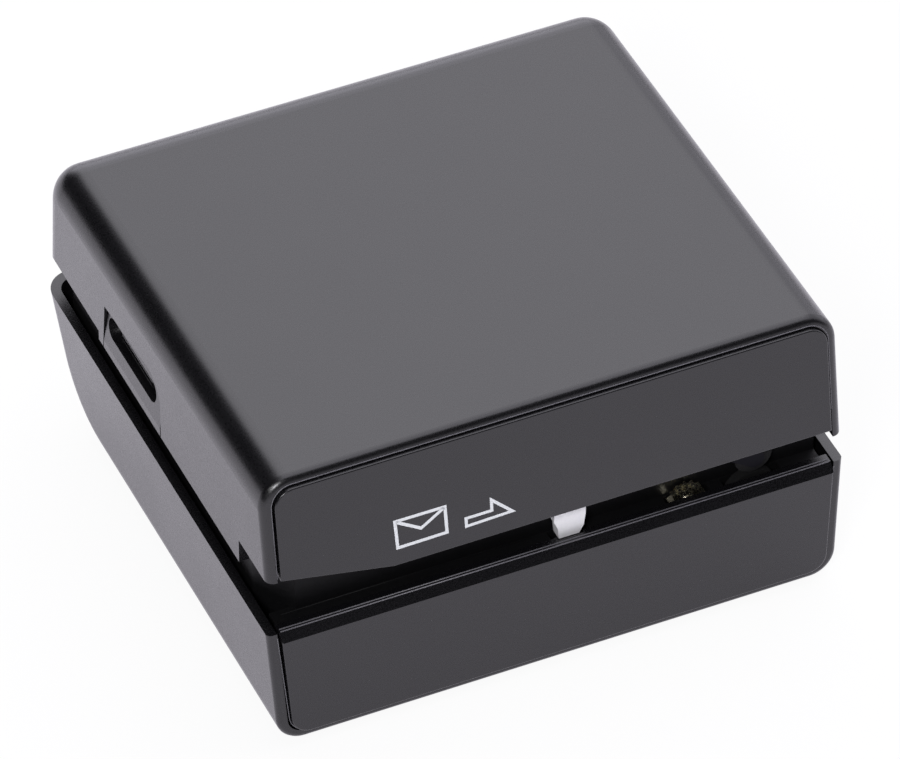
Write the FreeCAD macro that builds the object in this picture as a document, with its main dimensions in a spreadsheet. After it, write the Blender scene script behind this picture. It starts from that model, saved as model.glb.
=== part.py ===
import FreeCAD, Part
import Sketcher
import math
import os
import re

# Electric letter opener: a battery-run desk machine whose hood is hinged on its right side.
# Frame: +X right, +Y back, +Z up, millimetres, origin under the middle of the machine on the desk.

doc = FreeCAD.newDocument("letter_opener")
dims = doc.addObject("Spreadsheet::Sheet", "dims")

DIMENSIONS = (
    # casing
    ("body_width", "130", "width of the base at its rim"),
    ("hood_inset", "0.6", "hood in from the base, each side"),
    ("wall", "2.2", "wall of both shells"),
    ("foot_height", "0.9", "rubber foot below the base"),
    ("rim_height", "30.7", "base rim above the desk"),
    ("hood_gap", "7.5", "open band between base rim and hood edge"),
    ("hood_front_rise", "30.1", "hood edge to hood top at the front"),
    ("hood_back_rise", "27.3", "hood edge to hood top at the back"),
    ("front_reach", "59", "origin to the base shell's front rim"),
    ("back_reach", "61.2", "origin to the base shell's back rim"),
    ("base_front_lean", "1.7", "base front, bottom ahead of rim"),
    ("base_back_lean", "10.5", "base back, bottom corner in from rim"),
    ("base_back_radius", "21", "big round under the base's back"),
    ("base_side_draft", "1.8", "base side, bottom in from rim"),
    ("base_edge_radius", "6", "round along the base's sides"),
    ("hood_front_over", "0.25", "hood edge ahead of the base rim"),
    ("hood_back_over", "0.5", "hood edge behind the base rim"),
    ("hood_front_lean", "4.75", "hood front, top back from edge"),
    ("hood_back_lean", "2.25", "hood back, top in from edge"),
    ("hood_top_wall", "1.5", "hood's top wall"),
    ("hood_side_radius", "7", "round along the hood's sides and back corners"),
    ("hood_back_radius", "9", "round along the hood's back top edge"),
    ("hood_rim_radius", "2", "round at the hood's front opening"),
    ("base_rim_radius", "1.2", "round at the base's front opening"),
    ("edge_bevel", "1.2", "bevel under the hood's left back edge"),
    # front plates
    ("plate_proud", "1.35", "base plate ahead of its shell"),
    ("hood_plate_proud", "1", "hood plate ahead of its shell"),
    ("plate_gap", "0.5", "groove between shell and front plate"),
    ("plate_edge", "0.35", "round along the front plates' edges"),
    ("base_plate_depth", "2.8", "base plate behind the shell's front"),
    ("hood_plate_depth", "1.2", "hood plate behind the shell's front"),
    ("plate_bevel", "1.8", "bevel along the base plate's top"),
    ("plate_corner", "4.2", "corner radius of the front plates"),
    ("mouth_height", "9.7", "base rim to the hood plate's edge"),
    ("mouth_flare", "4.6", "extra mouth height at the entry end"),
    ("flare_length", "24.6", "length of the flared edge"),
    ("entry_depth", "15.8", "entry notch behind the hood's front edge"),
    ("entry_rise", "6", "entry notch above the hood edge"),
    # chassis
    ("neck_side_gap", "3.6", "neck in from the base's side face"),
    ("neck_back_gap", "3", "neck in from the base's back rim"),
    ("neck_wall", "2", "chassis wall"),
    ("neck_rise", "13.3", "neck above the base rim"),
    ("neck_corner", "7", "round of the neck's back corners"),
    ("deck_drop", "6.7", "deck's underside below the base rim"),
    ("deck_thick", "2", "deck thickness"),
    ("guide_setback", "6.7", "guide wall behind the base's front rim"),
    ("ramp_depth", "9.1", "entry ramp at the guide wall's left end, along Y"),
    ("ramp_width", "5.5", "entry ramp along X"),
    ("ledge_drop", "1.4", "paper ledge below the base rim"),
    ("ledge_thick", "1.8", "paper ledge thickness"),
    ("well_drop", "18.7", "gear well's underside below the base rim"),
    ("well_inset", "6", "gear well's right face in from the base's side"),
    ("well_width", "39", "gear well, along X"),
    # posts, screws and feet
    ("post_inset", "15", "screw posts in from the base's side"),
    ("post_front_inset", "31", "front screw posts behind the front rim"),
    ("post_back_inset", "27.2", "back screw posts ahead of the back rim"),
    ("post_radius", "4.2", "screw post radius"),
    ("screw_radius", "1.3", "screw shank radius"),
    ("screw_head_radius", "2.8", "screw head radius"),
    ("screw_head_height", "2", "screw head height"),
    ("screw_reach", "6", "length of the deck's screw bosses"),
    ("fit_gap", "0.03", "radial clearance of pins and screws"),
    ("foot_radius", "4.5", "rubber foot radius"),
    ("foot_recess", "0.8", "rubber foot's recess in the base"),
    ("foot_front_inset", "12", "front feet behind the front rim"),
    ("foot_back_inset", "39.2", "back feet ahead of the back rim"),
    # hood hinge
    ("hinge_inset", "4.5", "hood hinge axis in from the base's side"),
    ("hinge_rise", "3.8", "hood hinge axis above the base rim"),
    ("hinge_y", "26", "hinges ahead of and behind the origin"),
    ("knuckle_radius", "3.1", "hinge knuckle radius"),
    ("knuckle_length", "3", "each chassis ear, along the axis"),
    ("lug_length", "6", "hood lug, along the axis"),
    ("hinge_gap", "0.4", "side clearance beside a lug"),
    ("hinge_pin_radius", "1.2", "hinge pin radius"),
    ("lug_rise", "12", "hood lug above the hinge axis"),
    # drive
    ("gear_module", "0.7", "gear module"),
    ("gear_backlash", "0.3", "tooth gap at the pitch circle"),
    ("pinion_teeth", "12", "motor pinion"),
    ("cutter_teeth", "14", "cutter gear"),
    ("idler_teeth", "30", "large idler gear"),
    ("idler_small_teeth", "14", "small idler gear"),
    ("feed_teeth", "26", "feed gear"),
    ("gear_width", "3", "gear face width"),
    ("gear_space", "0.8", "gap between gear planes"),
    ("gear_clear", "1", "guide wall to the first gear"),
    ("plate_thick", "2", "bearing plate"),
    ("cutter_dx", "14.6", "cutter axis left of the feed axis"),
    ("cutter_radius", "4.2", "cutter wheel radius"),
    ("cutter_width", "1.8", "cutter wheel width"),
    ("cutter_rise", "1.5", "cutter top above the base rim"),
    ("cutter_cuts", "14", "teeth of the cutter wheel"),
    ("cutter_tooth", "0.8", "depth of the cutter's teeth"),
    ("feed_inset", "13", "feed axis in from the gear well's right face"),
    ("feed_radius", "6", "feed wheel radius"),
    ("feed_rise", "0.3", "feed wheel top above the base rim"),
    ("feed_width", "2.2", "feed wheel width"),
    ("feed_tyre", "1.6", "rubber tyre on the feed hub"),
    ("axle_radius", "1.5", "cutter and feed shaft radius"),
    ("bush_radius", "2.8", "bearing bush radius"),
    ("motor_dx", "-2.5", "motor axis from the cutter axis, along X"),
    ("motor_radius", "12", "motor can radius"),
    ("motor_flat", "10", "motor axis to its flats"),
    ("motor_length", "28", "motor can length"),
    ("motor_wall", "1", "motor can wall"),
    ("motor_cap", "4", "motor end cap length"),
    ("motor_shaft_radius", "1", "motor shaft radius"),
    ("armature_radius", "8.5", "motor armature radius"),
    # start lever and switch
    ("lever_dx", "27.2", "start lever axis left of the cutter axis"),
    ("lever_rise", "10.3", "start lever axis above the base rim"),
    ("lever_width", "2.7", "start lever, along Y"),
    ("lever_wall_gap", "0.8", "start lever to the guide wall"),
    ("lever_tip_drop", "1", "lever tip below the base rim"),
    ("lever_tip_width", "4.6", "lever tip"),
    ("lever_body_width", "7", "lever above its tip"),
    ("lever_hub_radius", "3.4", "lever hub"),
    ("lever_pin_radius", "1.2", "lever pin"),
    ("cam_offset", "1.5", "cam centre from the lever axis"),
    ("cam_radius", "3", "cam radius"),
    ("switch_length", "20", "micro switch, along X"),
    ("switch_depth", "6.4", "micro switch, along Y"),
    ("switch_height", "10.2", "micro switch, along Z"),
    ("plunger_radius", "0.8", "switch plunger radius"),
    ("plunger_gap", "0.2", "plunger to cam"),
    # pressure roller
    ("press_radius", "4.2", "pressure roller radius"),
    ("press_gap", "0.3", "pressure roller to feed wheel"),
    ("press_arm_dx", "10", "arm pivot left of the roller"),
    ("press_arm_dz", "6.8", "arm pivot above the roller"),
    ("press_arm_thick", "1", "arm thickness"),
    ("press_pin_radius", "1", "roller and arm pin radius"),
    ("guide_low", "8.3", "upper guide's edge above the base rim"),
    ("guide_high", "19.3", "upper guide's top above the base rim"),
    ("guide_spine", "14.8", "upper guide's spine above the base rim"),
    ("guide_thick", "2.7", "upper guide, along Y"),
    # push latch
    ("latch_back_y", "28.4", "latch window's back end"),
    ("latch_front_y", "-2.6", "latch window's front end"),
    ("latch_rise", "14.8", "latch window above the hood edge"),
    ("latch_corner", "6", "round of the latch's front top corner"),
    ("latch_slope", "2.6", "latch window's top, back end lower"),
    ("latch_slant", "1.5", "latch window's back end, top ahead of bottom"),
    ("latch_gap", "0.4", "latch to its window"),
    ("latch_thick", "3", "latch thickness"),
    ("latch_tilt", "1.2", "latch face, top in from the hood's side"),
    ("latch_axis_rise", "12.6", "latch axis above the hood edge"),
    ("latch_axis_in", "4.3", "latch axis in from the hood's side face"),
    ("latch_barrel", "1.8", "latch barrel radius"),
    ("latch_pin_radius", "1", "latch pin radius"),
    ("latch_ear", "1.9", "half height of the latch pin's ears"),
    ("grip_length", "25.4", "finger recess, along Y"),
    ("grip_height", "5.2", "finger recess, along Z"),
    ("grip_depth", "1.8", "finger recess depth"),
    ("grip_rise", "8.1", "finger recess centre above the hood edge"),
    # batteries and covers
    ("cell_radius", "7.25", "battery cell radius"),
    ("cell_length", "50.5", "battery cell length"),
    ("cell_gap", "0.3", "between cells and round them"),
    ("cell_count", "4", "battery cells"),
    ("tray_wall", "1.2", "battery tray wall"),
    ("tray_height", "15", "battery tray height"),
    ("tray_inset", "7", "battery tray in from the base's left side"),
    ("tray_back_gap", "6", "battery tray ahead of the back rim"),
    ("contact_room", "1.6", "room for a contact at each cell end"),
    ("contact_thick", "0.4", "contact plate"),
    ("cover_thick", "1.8", "inner cover thickness"),
    ("cover_inset", "1.5", "inner cover in from the neck's faces"),
    ("dome_rise", "8.2", "dome above the inner cover"),
    ("dome_inset", "6.4", "dome's right face in from the base's side"),
    ("dome_switch", "12.2", "dome's left face left of the lever axis"),
    ("dome_depth", "20", "dome over the switch, along Y"),
    ("dome_clear", "2.4", "dome's faces outside the motor"),
    ("lid_thick", "1.5", "battery lid"),
    ("lid_lap", "1.5", "battery lid over the cover"),
)

for row, (alias, number, note) in enumerate(DIMENSIONS, start=1):
    dims.set("A%d" % row, note)
    dims.set("B%d" % row, number)
    dims.setAlias("B%d" % row, alias)

# Places that follow from the sizes above.
PLACES = (
    ("hinge_x", "body_width / 2 - hinge_inset", "hood hinge axis"),
    ("post_x", "body_width / 2 - post_inset", "screw posts from the middle"),
    ("post_front_y", "front_reach - post_front_inset", "front screw posts ahead of the origin"),
    ("post_back_y", "back_reach - post_back_inset", "back screw posts behind the origin"),
    ("foot_front_y", "front_reach - foot_front_inset", "front feet ahead of the origin"),
    ("foot_back_y", "back_reach - foot_back_inset", "back feet behind the origin"),
    ("well_right", "body_width / 2 - well_inset", "gear well's right face"),
    ("well_left", "body_width / 2 - well_inset - well_width", "gear well's left face"),
    ("feed_x", "body_width / 2 - well_inset - feed_inset", "feed axis"),
    ("cutter_x", "body_width / 2 - well_inset - feed_inset - cutter_dx", "cutter axis"),
    ("lever_x", "body_width / 2 - well_inset - feed_inset - cutter_dx - lever_dx", "start lever axis"),
    ("tray_left", "tray_inset - body_width / 2", "battery tray's left face"),
    ("tray_back", "back_reach - tray_back_gap", "battery tray's back face"),
    ("dome_right", "body_width / 2 - dome_inset", "dome's right face"),
    ("dome_left", "body_width / 2 - well_inset - feed_inset - cutter_dx - lever_dx - dome_switch",
     "dome's left face"),
)

for row, (alias, formula, note) in enumerate(PLACES, start=len(DIMENSIONS) + 1):
    dims.set("A%d" % row, note)
    dims.set("B%d" % row, "=" + formula)
    dims.setAlias("B%d" % row, alias)
doc.recompute()

ALIASES = {alias for alias, text, note in DIMENSIONS + PLACES}
WORD = re.compile(r"[a-z_]+")


def bound(text):
    """An expression over the sheet, from a formula that uses its aliases as words."""
    return WORD.sub(lambda m: "dims." + m.group() if m.group() in ALIASES else m.group(), str(text))


def size(text):
    """The present value of such a formula, in millimetres."""
    value = dims.evalExpression(bound(text))
    return float(getattr(value, "Value", value))


# Heights and places that several pieces share, as formulas over the sheet.
RIM = "rim_height"
HOOD_LOW = "(rim_height + hood_gap)"
HOOD_FRONT_TOP = "(rim_height + hood_gap + hood_front_rise)"
HOOD_BACK_TOP = "(rim_height + hood_gap + hood_back_rise)"
BASE_HALF = "(body_width / 2)"
HOOD_HALF = "(body_width / 2 - hood_inset)"
HOOD_LEFT = "(hood_inset - body_width / 2)"
BASE_FRONT = "(-front_reach)"
HOOD_FRONT = "(-front_reach - hood_front_over)"
HOOD_BACK = "(back_reach + hood_back_over)"
NECK_HALF = "(body_width / 2 - neck_side_gap)"
NECK_BACK = "(back_reach - neck_back_gap)"
NECK_TOP = "(rim_height + neck_rise)"
DECK_LOW = "(rim_height - deck_drop)"
DECK_TOP = "(rim_height - deck_drop + deck_thick)"
GUIDE_Y = "(-front_reach + guide_setback)"
WELL_LOW = "(rim_height - well_drop)"
WELL_BACK = ("(-front_reach + guide_setback + 2 * neck_wall + gear_clear + 3 * gear_width"
             " + 3 * gear_space + plate_thick)")
LEVER_Z = "(rim_height + lever_rise)"
HINGE_Z = "(rim_height + hinge_rise)"
CELL_PITCH = "(2 * cell_radius + cell_gap)"
TRAY_RIGHT = "(tray_left + 2 * tray_wall + cell_gap + cell_count * %s)" % CELL_PITCH


# ---------------------------------------------------------------- construction helpers

def origin_plane(body, role):
    for feature in body.Origin.OriginFeatures:
        if feature.Role == role:
            return feature
    raise RuntimeError("no plane " + role)


def sketch_polygon(body, name, role, offset, points):
    """A closed polygon whose every corner is bound to the sheet."""
    sketch = body.newObject("Sketcher::SketchObject", name)
    sketch.AttachmentSupport = [(origin_plane(body, role), "")]
    sketch.MapMode = "FlatFace"
    sketch.setExpression("AttachmentOffset.Base.z", bound(offset))
    corners = [FreeCAD.Vector(size(u), size(v), 0) for u, v in points]
    count = len(corners)
    for i in range(count):
        sketch.addGeometry(Part.LineSegment(corners[i], corners[(i + 1) % count]), False)
    for i in range(count):
        sketch.addConstraint(Sketcher.Constraint("Coincident", i, 2, (i + 1) % count, 1))
    for i, (u, v) in enumerate(points):
        for axis, formula, place in (("DistanceX", u, corners[i].x), ("DistanceY", v, corners[i].y)):
            index = sketch.addConstraint(Sketcher.Constraint(axis, i, 1, place))
            sketch.setExpression("Constraints[%d]" % index, bound(formula))
    return sketch


def prism(name, role, low, high, points):
    """A body padded from a polygon between two places along the plane's normal axis."""
    body = doc.addObject("PartDesign::Body", name)
    offset = "-(%s)" % low if role == "XZ_Plane" else low
    sketch = sketch_polygon(body, name + "_outline", role, offset, points)
    pad = body.newObject("PartDesign::Pad", name + "_pad")
    pad.Profile = sketch
    pad.Reversed = role == "XZ_Plane"
    pad.setExpression("Length", bound("(%s) - (%s)" % (high, low)))
    return body


def round_edges(body, name, radius, chosen):
    doc.recompute()
    base = body.Tip
    names = ["Edge%d" % (i + 1) for i, edge in enumerate(base.Shape.Edges) if chosen(edge)]
    if not names:
        raise RuntimeError("no edges for " + name)
    feature = body.newObject("PartDesign::Fillet", name)
    feature.Base = (base, names)
    feature.setExpression("Radius", bound(radius))
    return feature


def hollow(body, name, open_faces):
    doc.recompute()
    base = body.Tip
    names = ["Face%d" % (i + 1) for i, face in enumerate(base.Shape.Faces) if open_faces(face)]
    feature = body.newObject("PartDesign::Thickness", name)
    feature.Base = (base, names)
    feature.Reversed = True
    feature.Join = 1
    feature.setExpression("Value", bound("wall"))
    return feature


def box(name, x0, x1, y0, y1, z0, z1):
    solid = doc.addObject("Part::Box", name)
    for prop, low, high in (("Length", x0, x1), ("Width", y0, y1), ("Height", z0, z1)):
        solid.setExpression(prop, bound("(%s) - (%s)" % (high, low)))
    for axis, low in (("x", x0), ("y", y0), ("z", z0)):
        solid.setExpression("Placement.Base." + axis, bound(low))
    return solid


def rod(name, radius, x, y0, y1, z):
    """A round bar along Y."""
    solid = doc.addObject("Part::Cylinder", name)
    solid.setExpression("Radius", bound(radius))
    solid.setExpression("Height", bound("(%s) - (%s)" % (y1, y0)))
    solid.Placement = FreeCAD.Placement(FreeCAD.Vector(), FreeCAD.Rotation(FreeCAD.Vector(1, 0, 0), -90))
    for axis, place in (("x", x), ("y", y0), ("z", z)):
        solid.setExpression("Placement.Base." + axis, bound(place))
    return solid


def post(name, radius, x, y, z0, z1):
    """A round bar along Z."""
    solid = doc.addObject("Part::Cylinder", name)
    solid.setExpression("Radius", bound(radius))
    solid.setExpression("Height", bound("(%s) - (%s)" % (z1, z0)))
    for axis, place in (("x", x), ("y", y), ("z", z0)):
        solid.setExpression("Placement.Base." + axis, bound(place))
    return solid


def ring(name, major, minor, x, y, z):
    """One turn of round wire about a line along Y."""
    solid = doc.addObject("Part::Torus", name)
    solid.setExpression("Radius1", bound(major))
    solid.setExpression("Radius2", bound(minor))
    solid.Placement = FreeCAD.Placement(FreeCAD.Vector(), FreeCAD.Rotation(FreeCAD.Vector(1, 0, 0), -90))
    for axis, place in (("x", x), ("y", y), ("z", z)):
        solid.setExpression("Placement.Base." + axis, bound(place))
    return solid


def fuse(name, shapes):
    joined = doc.addObject("Part::MultiFuse", name)
    joined.Shapes = shapes
    joined.Refine = True
    return joined


def cut(name, base, tools):
    tool = tools[0] if len(tools) == 1 else fuse(name + "_tools", tools)
    result = doc.addObject("Part::Cut", name)
    result.Base = base
    result.Tool = tool
    result.Refine = True
    return result


def common(name, base, tool):
    result = doc.addObject("Part::Common", name)
    result.Base = base
    result.Tool = tool
    return result


def group(name, solids):
    """Separate solids kept in one node."""
    result = doc.addObject("Part::Compound", name)
    result.Links = solids
    return result


SUBPARTS = []


def node(obj, label):
    obj.Label = label
    SUBPARTS.append(obj)
    return obj


def middle(edge):
    return edge.valueAt((edge.FirstParameter + edge.LastParameter) / 2)


def front_y(face_y, lean, low, high, height):
    """Where a leaning front face stands at one height."""
    return face_y + lean * (height - low) / (high - low)


def inside_corner(to_side, to_end, radius):
    """Distance in from an outline with rounded corners."""
    if to_side < radius and to_end < radius:
        return radius - math.hypot(radius - to_side, radius - to_end)
    return min(to_side, to_end)


def pocket_through(body, name, role, points):
    sketch = sketch_polygon(body, name + "_outline", role, "0", points)
    feature = body.newObject("PartDesign::Pocket", name)
    feature.Profile = sketch
    feature.Type = 1
    feature.Midplane = True
    return feature


# ---------------------------------------------------------------- base shell

def make_base_shell():
    """Drafted tray, open at the top and the front, with a big round under its back."""
    low, rim = size("foot_height"), size(RIM)
    body = prism("base_form", "YZ_Plane", "-" + BASE_HALF, BASE_HALF, (
        (BASE_FRONT, RIM),
        (BASE_FRONT + " - base_front_lean", "foot_height"),
        ("back_reach - base_back_lean", "foot_height"),
        ("back_reach", RIM),
    ))
    round_edges(body, "base_back_round", "base_back_radius",
                lambda e: middle(e).z < low + 0.01 and middle(e).y > 0 and abs(middle(e).x) < 1)
    for side, sign in (("right", ""), ("left", "-")):
        pocket_through(body, "base_draft_" + side, "XZ_Plane", (
            (sign + BASE_HALF, RIM),
            (sign + "(body_width / 2 - base_side_draft)", "foot_height"),
            (sign + "(body_width / 2 + wall)", "foot_height"),
            (sign + "(body_width / 2 + wall)", RIM),
        ))
    draft, radius, half = size("base_side_draft"), size("base_edge_radius"), size(BASE_HALF)
    lean = size("base_front_lean")

    def on_front(point):
        return abs(point.y - front_y(size(BASE_FRONT), -lean, rim, low, point.z)) < 0.02

    def on_side_chain(edge):
        point = middle(edge)
        side = half - draft * (rim - point.z) / (rim - low)
        return abs(abs(point.x) - side) < 0.05 and point.z < rim - 0.5 and not on_front(point)

    round_edges(body, "base_edge_round", "base_edge_radius", on_side_chain)
    hollow(body, "base_hollow", lambda f: (
        abs(f.CenterOfMass.z - rim) < 0.01 or all(on_front(v.Point) for v in f.Vertexes)))

    def on_front_rim(edge):
        point = middle(edge)
        side = half - draft * (rim - point.z) / (rim - low)
        depth = inside_corner(side - abs(point.x), point.z - low, radius)
        return all(on_front(v.Point) for v in edge.Vertexes) and depth < 0.3

    round_edges(body, "base_rim_round", "base_rim_radius", on_front_rim)

    extra, holes = [], []
    for i, (sign, y) in enumerate((s, y) for s in ("", "-") for y in ("-post_front_y", "post_back_y")):
        x = sign + "post_x"
        extra.append(post("screw_post_%d" % i, "post_radius", x, y, "foot_height + wall / 2",
                          DECK_LOW + " - screw_reach"))
        holes.append(post("screw_way_%d" % i, "screw_radius + 0.3", x, y, "0", RIM))
        holes.append(post("screw_seat_%d" % i, "screw_head_radius + 0.3", x, y,
                          "0", "foot_height + screw_head_height + 0.6"))
    for i, (sign, y) in enumerate((s, y) for s in ("", "-") for y in ("-foot_front_y", "foot_back_y")):
        holes.append(post("foot_seat_%d" % i, "foot_radius + 0.1", sign + "post_x", y,
                          "0", "foot_height + foot_recess"))
    node(cut("base_shell_cut", fuse("base_shell_fuse", [body] + extra), holes), "base_shell")


def make_base_front_plate():
    """Proud front panel of the base, bevelled along the rim and hollow behind."""
    face = "(-front_reach - plate_proud)"
    back = "(-front_reach + base_plate_depth)"
    half = "(body_width / 2 - wall - plate_gap)"
    panel = prism("base_plate_panel", "XZ_Plane", BASE_FRONT + " - 10", back, (
        ("-" + half, RIM),
        ("-(%s - base_side_draft)" % half, "foot_height + wall + plate_gap"),
        ("%s - base_side_draft" % half, "foot_height + wall + plate_gap"),
        (half, RIM),
    ))
    low = size("foot_height + wall + plate_gap")
    round_edges(panel, "base_plate_corners", "plate_corner",
                lambda e: abs(middle(e).z - low) < 0.01 and abs(abs(middle(e).x) - size(half)) < 3)
    pocket_through(panel, "base_plate_front", "YZ_Plane", (
        (face + " + plate_bevel", RIM),
        (face, "rim_height - plate_bevel"),
        (face + " - base_front_lean", "foot_height"),
        (BASE_FRONT + " - 11", "foot_height"),
        (BASE_FRONT + " - 11", RIM),
    ))
    shoulder, foot = size("rim_height - plate_bevel"), size("foot_height")
    lean = size("base_front_lean")
    round_edges(panel, "base_plate_edge", "plate_edge", lambda e: middle(e).z < shoulder - 0.1 and all(
        abs(v.Point.y - front_y(size(face), -lean, shoulder, foot, v.Point.z)) < 0.02 for v in e.Vertexes))
    hollow_half = "(body_width / 2 - 3 * wall - base_side_draft)"
    room = box("base_plate_room", "-" + hollow_half, hollow_half, BASE_FRONT + " + wall - plate_proud",
               BASE_FRONT + " + 10", "foot_height + 3 * wall", "rim_height - 2 * wall")
    notch = box("lever_notch", "lever_x - 3.3", "lever_x + 2.7", back + " - 0.8", back + " + 1",
                "rim_height - 1.2", "rim_height + 1")
    node(cut("base_plate_cut", panel, [room, notch]), "base_front_plate")


# ---------------------------------------------------------------- hood shell

LATCH_X = "(hood_inset - body_width / 2 + latch_axis_in)"
LATCH_Z = "(rim_height + hood_gap + latch_axis_rise)"


def latch_outline(gap, low):
    """The latch window's outline on the hood's side; a gap makes it the latch's own."""
    return (
        ("latch_front_y + " + gap, low),
        ("latch_back_y - " + gap, low),
        ("latch_back_y - latch_slant - " + gap, HOOD_LOW + " + latch_rise - latch_slope - " + gap),
        ("latch_front_y + " + gap, HOOD_LOW + " + latch_rise - " + gap),
    )


def round_latch_corner(body, gap):
    top = size(HOOD_LOW + " + latch_rise - " + gap)
    round_edges(body, body.Name + "_corner", "latch_corner",
                lambda e: abs(e.Vertexes[0].Point.z - top) < 0.02 and abs(e.Vertexes[-1].Point.z - top) < 0.02)


def make_hood_shell():
    """Top shell, open below and in front, with the latch window, hinge lugs and latch ears."""
    low, high = size(HOOD_LOW), size(HOOD_FRONT_TOP)
    half, lean = size(HOOD_HALF), size("hood_front_lean")
    body = prism("hood_form", "YZ_Plane", "-" + HOOD_HALF, HOOD_HALF, (
        (HOOD_FRONT, HOOD_LOW),
        (HOOD_FRONT + " + hood_front_lean", HOOD_FRONT_TOP),
        (HOOD_BACK + " - hood_back_lean", HOOD_BACK_TOP),
        (HOOD_BACK, HOOD_LOW),
    ))

    def on_front(point):
        return abs(point.y - front_y(size(HOOD_FRONT), lean, low, high, point.z)) < 0.02

    def side_chain(edge):
        point = middle(edge)
        return abs(abs(point.x) - half) < 0.01 and point.z > low + 0.5 and not on_front(point)

    back_top = size(HOOD_BACK_TOP)
    round_edges(body, "hood_back_round", "hood_back_radius",
                lambda e: abs(middle(e).z - back_top) < 0.01 and abs(middle(e).x) < 1 and middle(e).y > 0)
    round_edges(body, "hood_side_round", "hood_side_radius", side_chain)
    round_edges(body, "hood_rim_round", "hood_rim_radius",
                lambda e: all(on_front(v.Point) for v in e.Vertexes) and middle(e).z > low + 0.5)

    slope = "(hood_front_rise - hood_back_rise) / (%s - hood_back_lean - %s - hood_front_lean)" % (
        HOOD_BACK, HOOD_FRONT)
    inner_half = "(%s - wall)" % HOOD_HALF
    room = prism("hood_room", "YZ_Plane", "-" + inner_half, inner_half, (
        (HOOD_FRONT + " - 1", HOOD_LOW + " - 1"),
        (HOOD_FRONT + " - 1", HOOD_FRONT_TOP + " - hood_top_wall + (hood_front_lean + 1) * " + slope),
        (HOOD_BACK + " - hood_back_lean - wall", HOOD_BACK_TOP + " - hood_top_wall"),
        (HOOD_BACK + " - wall", HOOD_LOW + " - 1"),
    ))
    inner, ceiling = size(inner_half), size(HOOD_BACK_TOP + " - hood_top_wall")
    round_edges(room, "hood_room_back", "hood_back_radius - hood_top_wall",
                lambda e: abs(middle(e).z - ceiling) < 0.01 and abs(middle(e).x) < 1 and middle(e).y > 0)
    round_edges(room, "hood_room_sides", "hood_side_radius - hood_top_wall",
                lambda e: abs(abs(middle(e).x) - inner) < 0.01 and middle(e).z > low
                and middle(e).y > size(HOOD_FRONT))

    side = HOOD_LEFT
    entry = box("entry_notch", side + " - 1", side + " + 2 * wall", HOOD_FRONT + " - 1",
                HOOD_FRONT + " + entry_depth", HOOD_LOW + " - 1", HOOD_LOW + " + entry_rise")
    window = prism("latch_window", "YZ_Plane", side + " - 1", side + " + wall + 1",
                   latch_outline("0", HOOD_LOW + " - 1"))
    round_latch_corner(window, "0")
    bevel = prism("edge_bevel_cut", "XZ_Plane", "latch_back_y + wall", HOOD_BACK + " + 1", (
        (side + " - 1", HOOD_LOW + " - 1"),
        (side + " + edge_bevel", HOOD_LOW + " - 1"),
        (side + " + edge_bevel", HOOD_LOW),
        (side, HOOD_LOW + " + 2 * edge_bevel"),
        (side + " - 1", HOOD_LOW + " + 2 * edge_bevel"),
    ))

    extra, holes = [], [entry, window, bevel]
    for i, sign in enumerate(("-", "")):
        y = "(%shinge_y)" % sign
        y0, y1 = y + " - lug_length / 2", y + " + lug_length / 2"
        extra.append(rod("lug_knuckle_%d" % i, "knuckle_radius", "hinge_x", y0, y1, HINGE_Z))
        extra.append(box("lug_arm_%d" % i, "hinge_x - 1.2", inner_half + " + 0.2", y0, y1,
                         HINGE_Z, HINGE_Z + " + lug_rise"))
        holes.append(rod("lug_bore_%d" % i, "hinge_pin_radius + 2 * fit_gap", "hinge_x",
                         y0 + " - 1", y1 + " + 1", HINGE_Z))
    for name, y0, y1 in (("front", "latch_front_y - 3.4", "latch_front_y - 0.6"),
                         ("back", "latch_back_y + 0.2", "latch_back_y + 3")):
        extra.append(box("latch_ear_" + name, side + " + wall - 0.2", LATCH_X + " + latch_ear", y0, y1,
                         LATCH_Z + " - latch_ear", LATCH_Z + " + latch_ear"))
    holes.append(rod("latch_bore", "latch_pin_radius + fit_gap", LATCH_X,
                     "latch_front_y - 5", "latch_back_y + 5", LATCH_Z))
    shell = cut("hood_skin", body, [room])
    node(cut("hood_shell_cut", fuse("hood_shell_fuse", [shell] + extra), holes), "hood_shell")


GUIDE_BACK = "(%s - 0.9)" % GUIDE_Y
GUIDE_FRONT = "(%s - guide_thick)" % GUIDE_BACK
GUIDE_SCREWS = (("left", "-post_x"), ("right", "post_x + 6.5"))
GUIDE_SCREW_Z = "(rim_height + (guide_high + guide_spine) / 2)"
HOOD_PLATE_FACE = "(-front_reach - hood_front_over - hood_plate_proud)"


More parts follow.
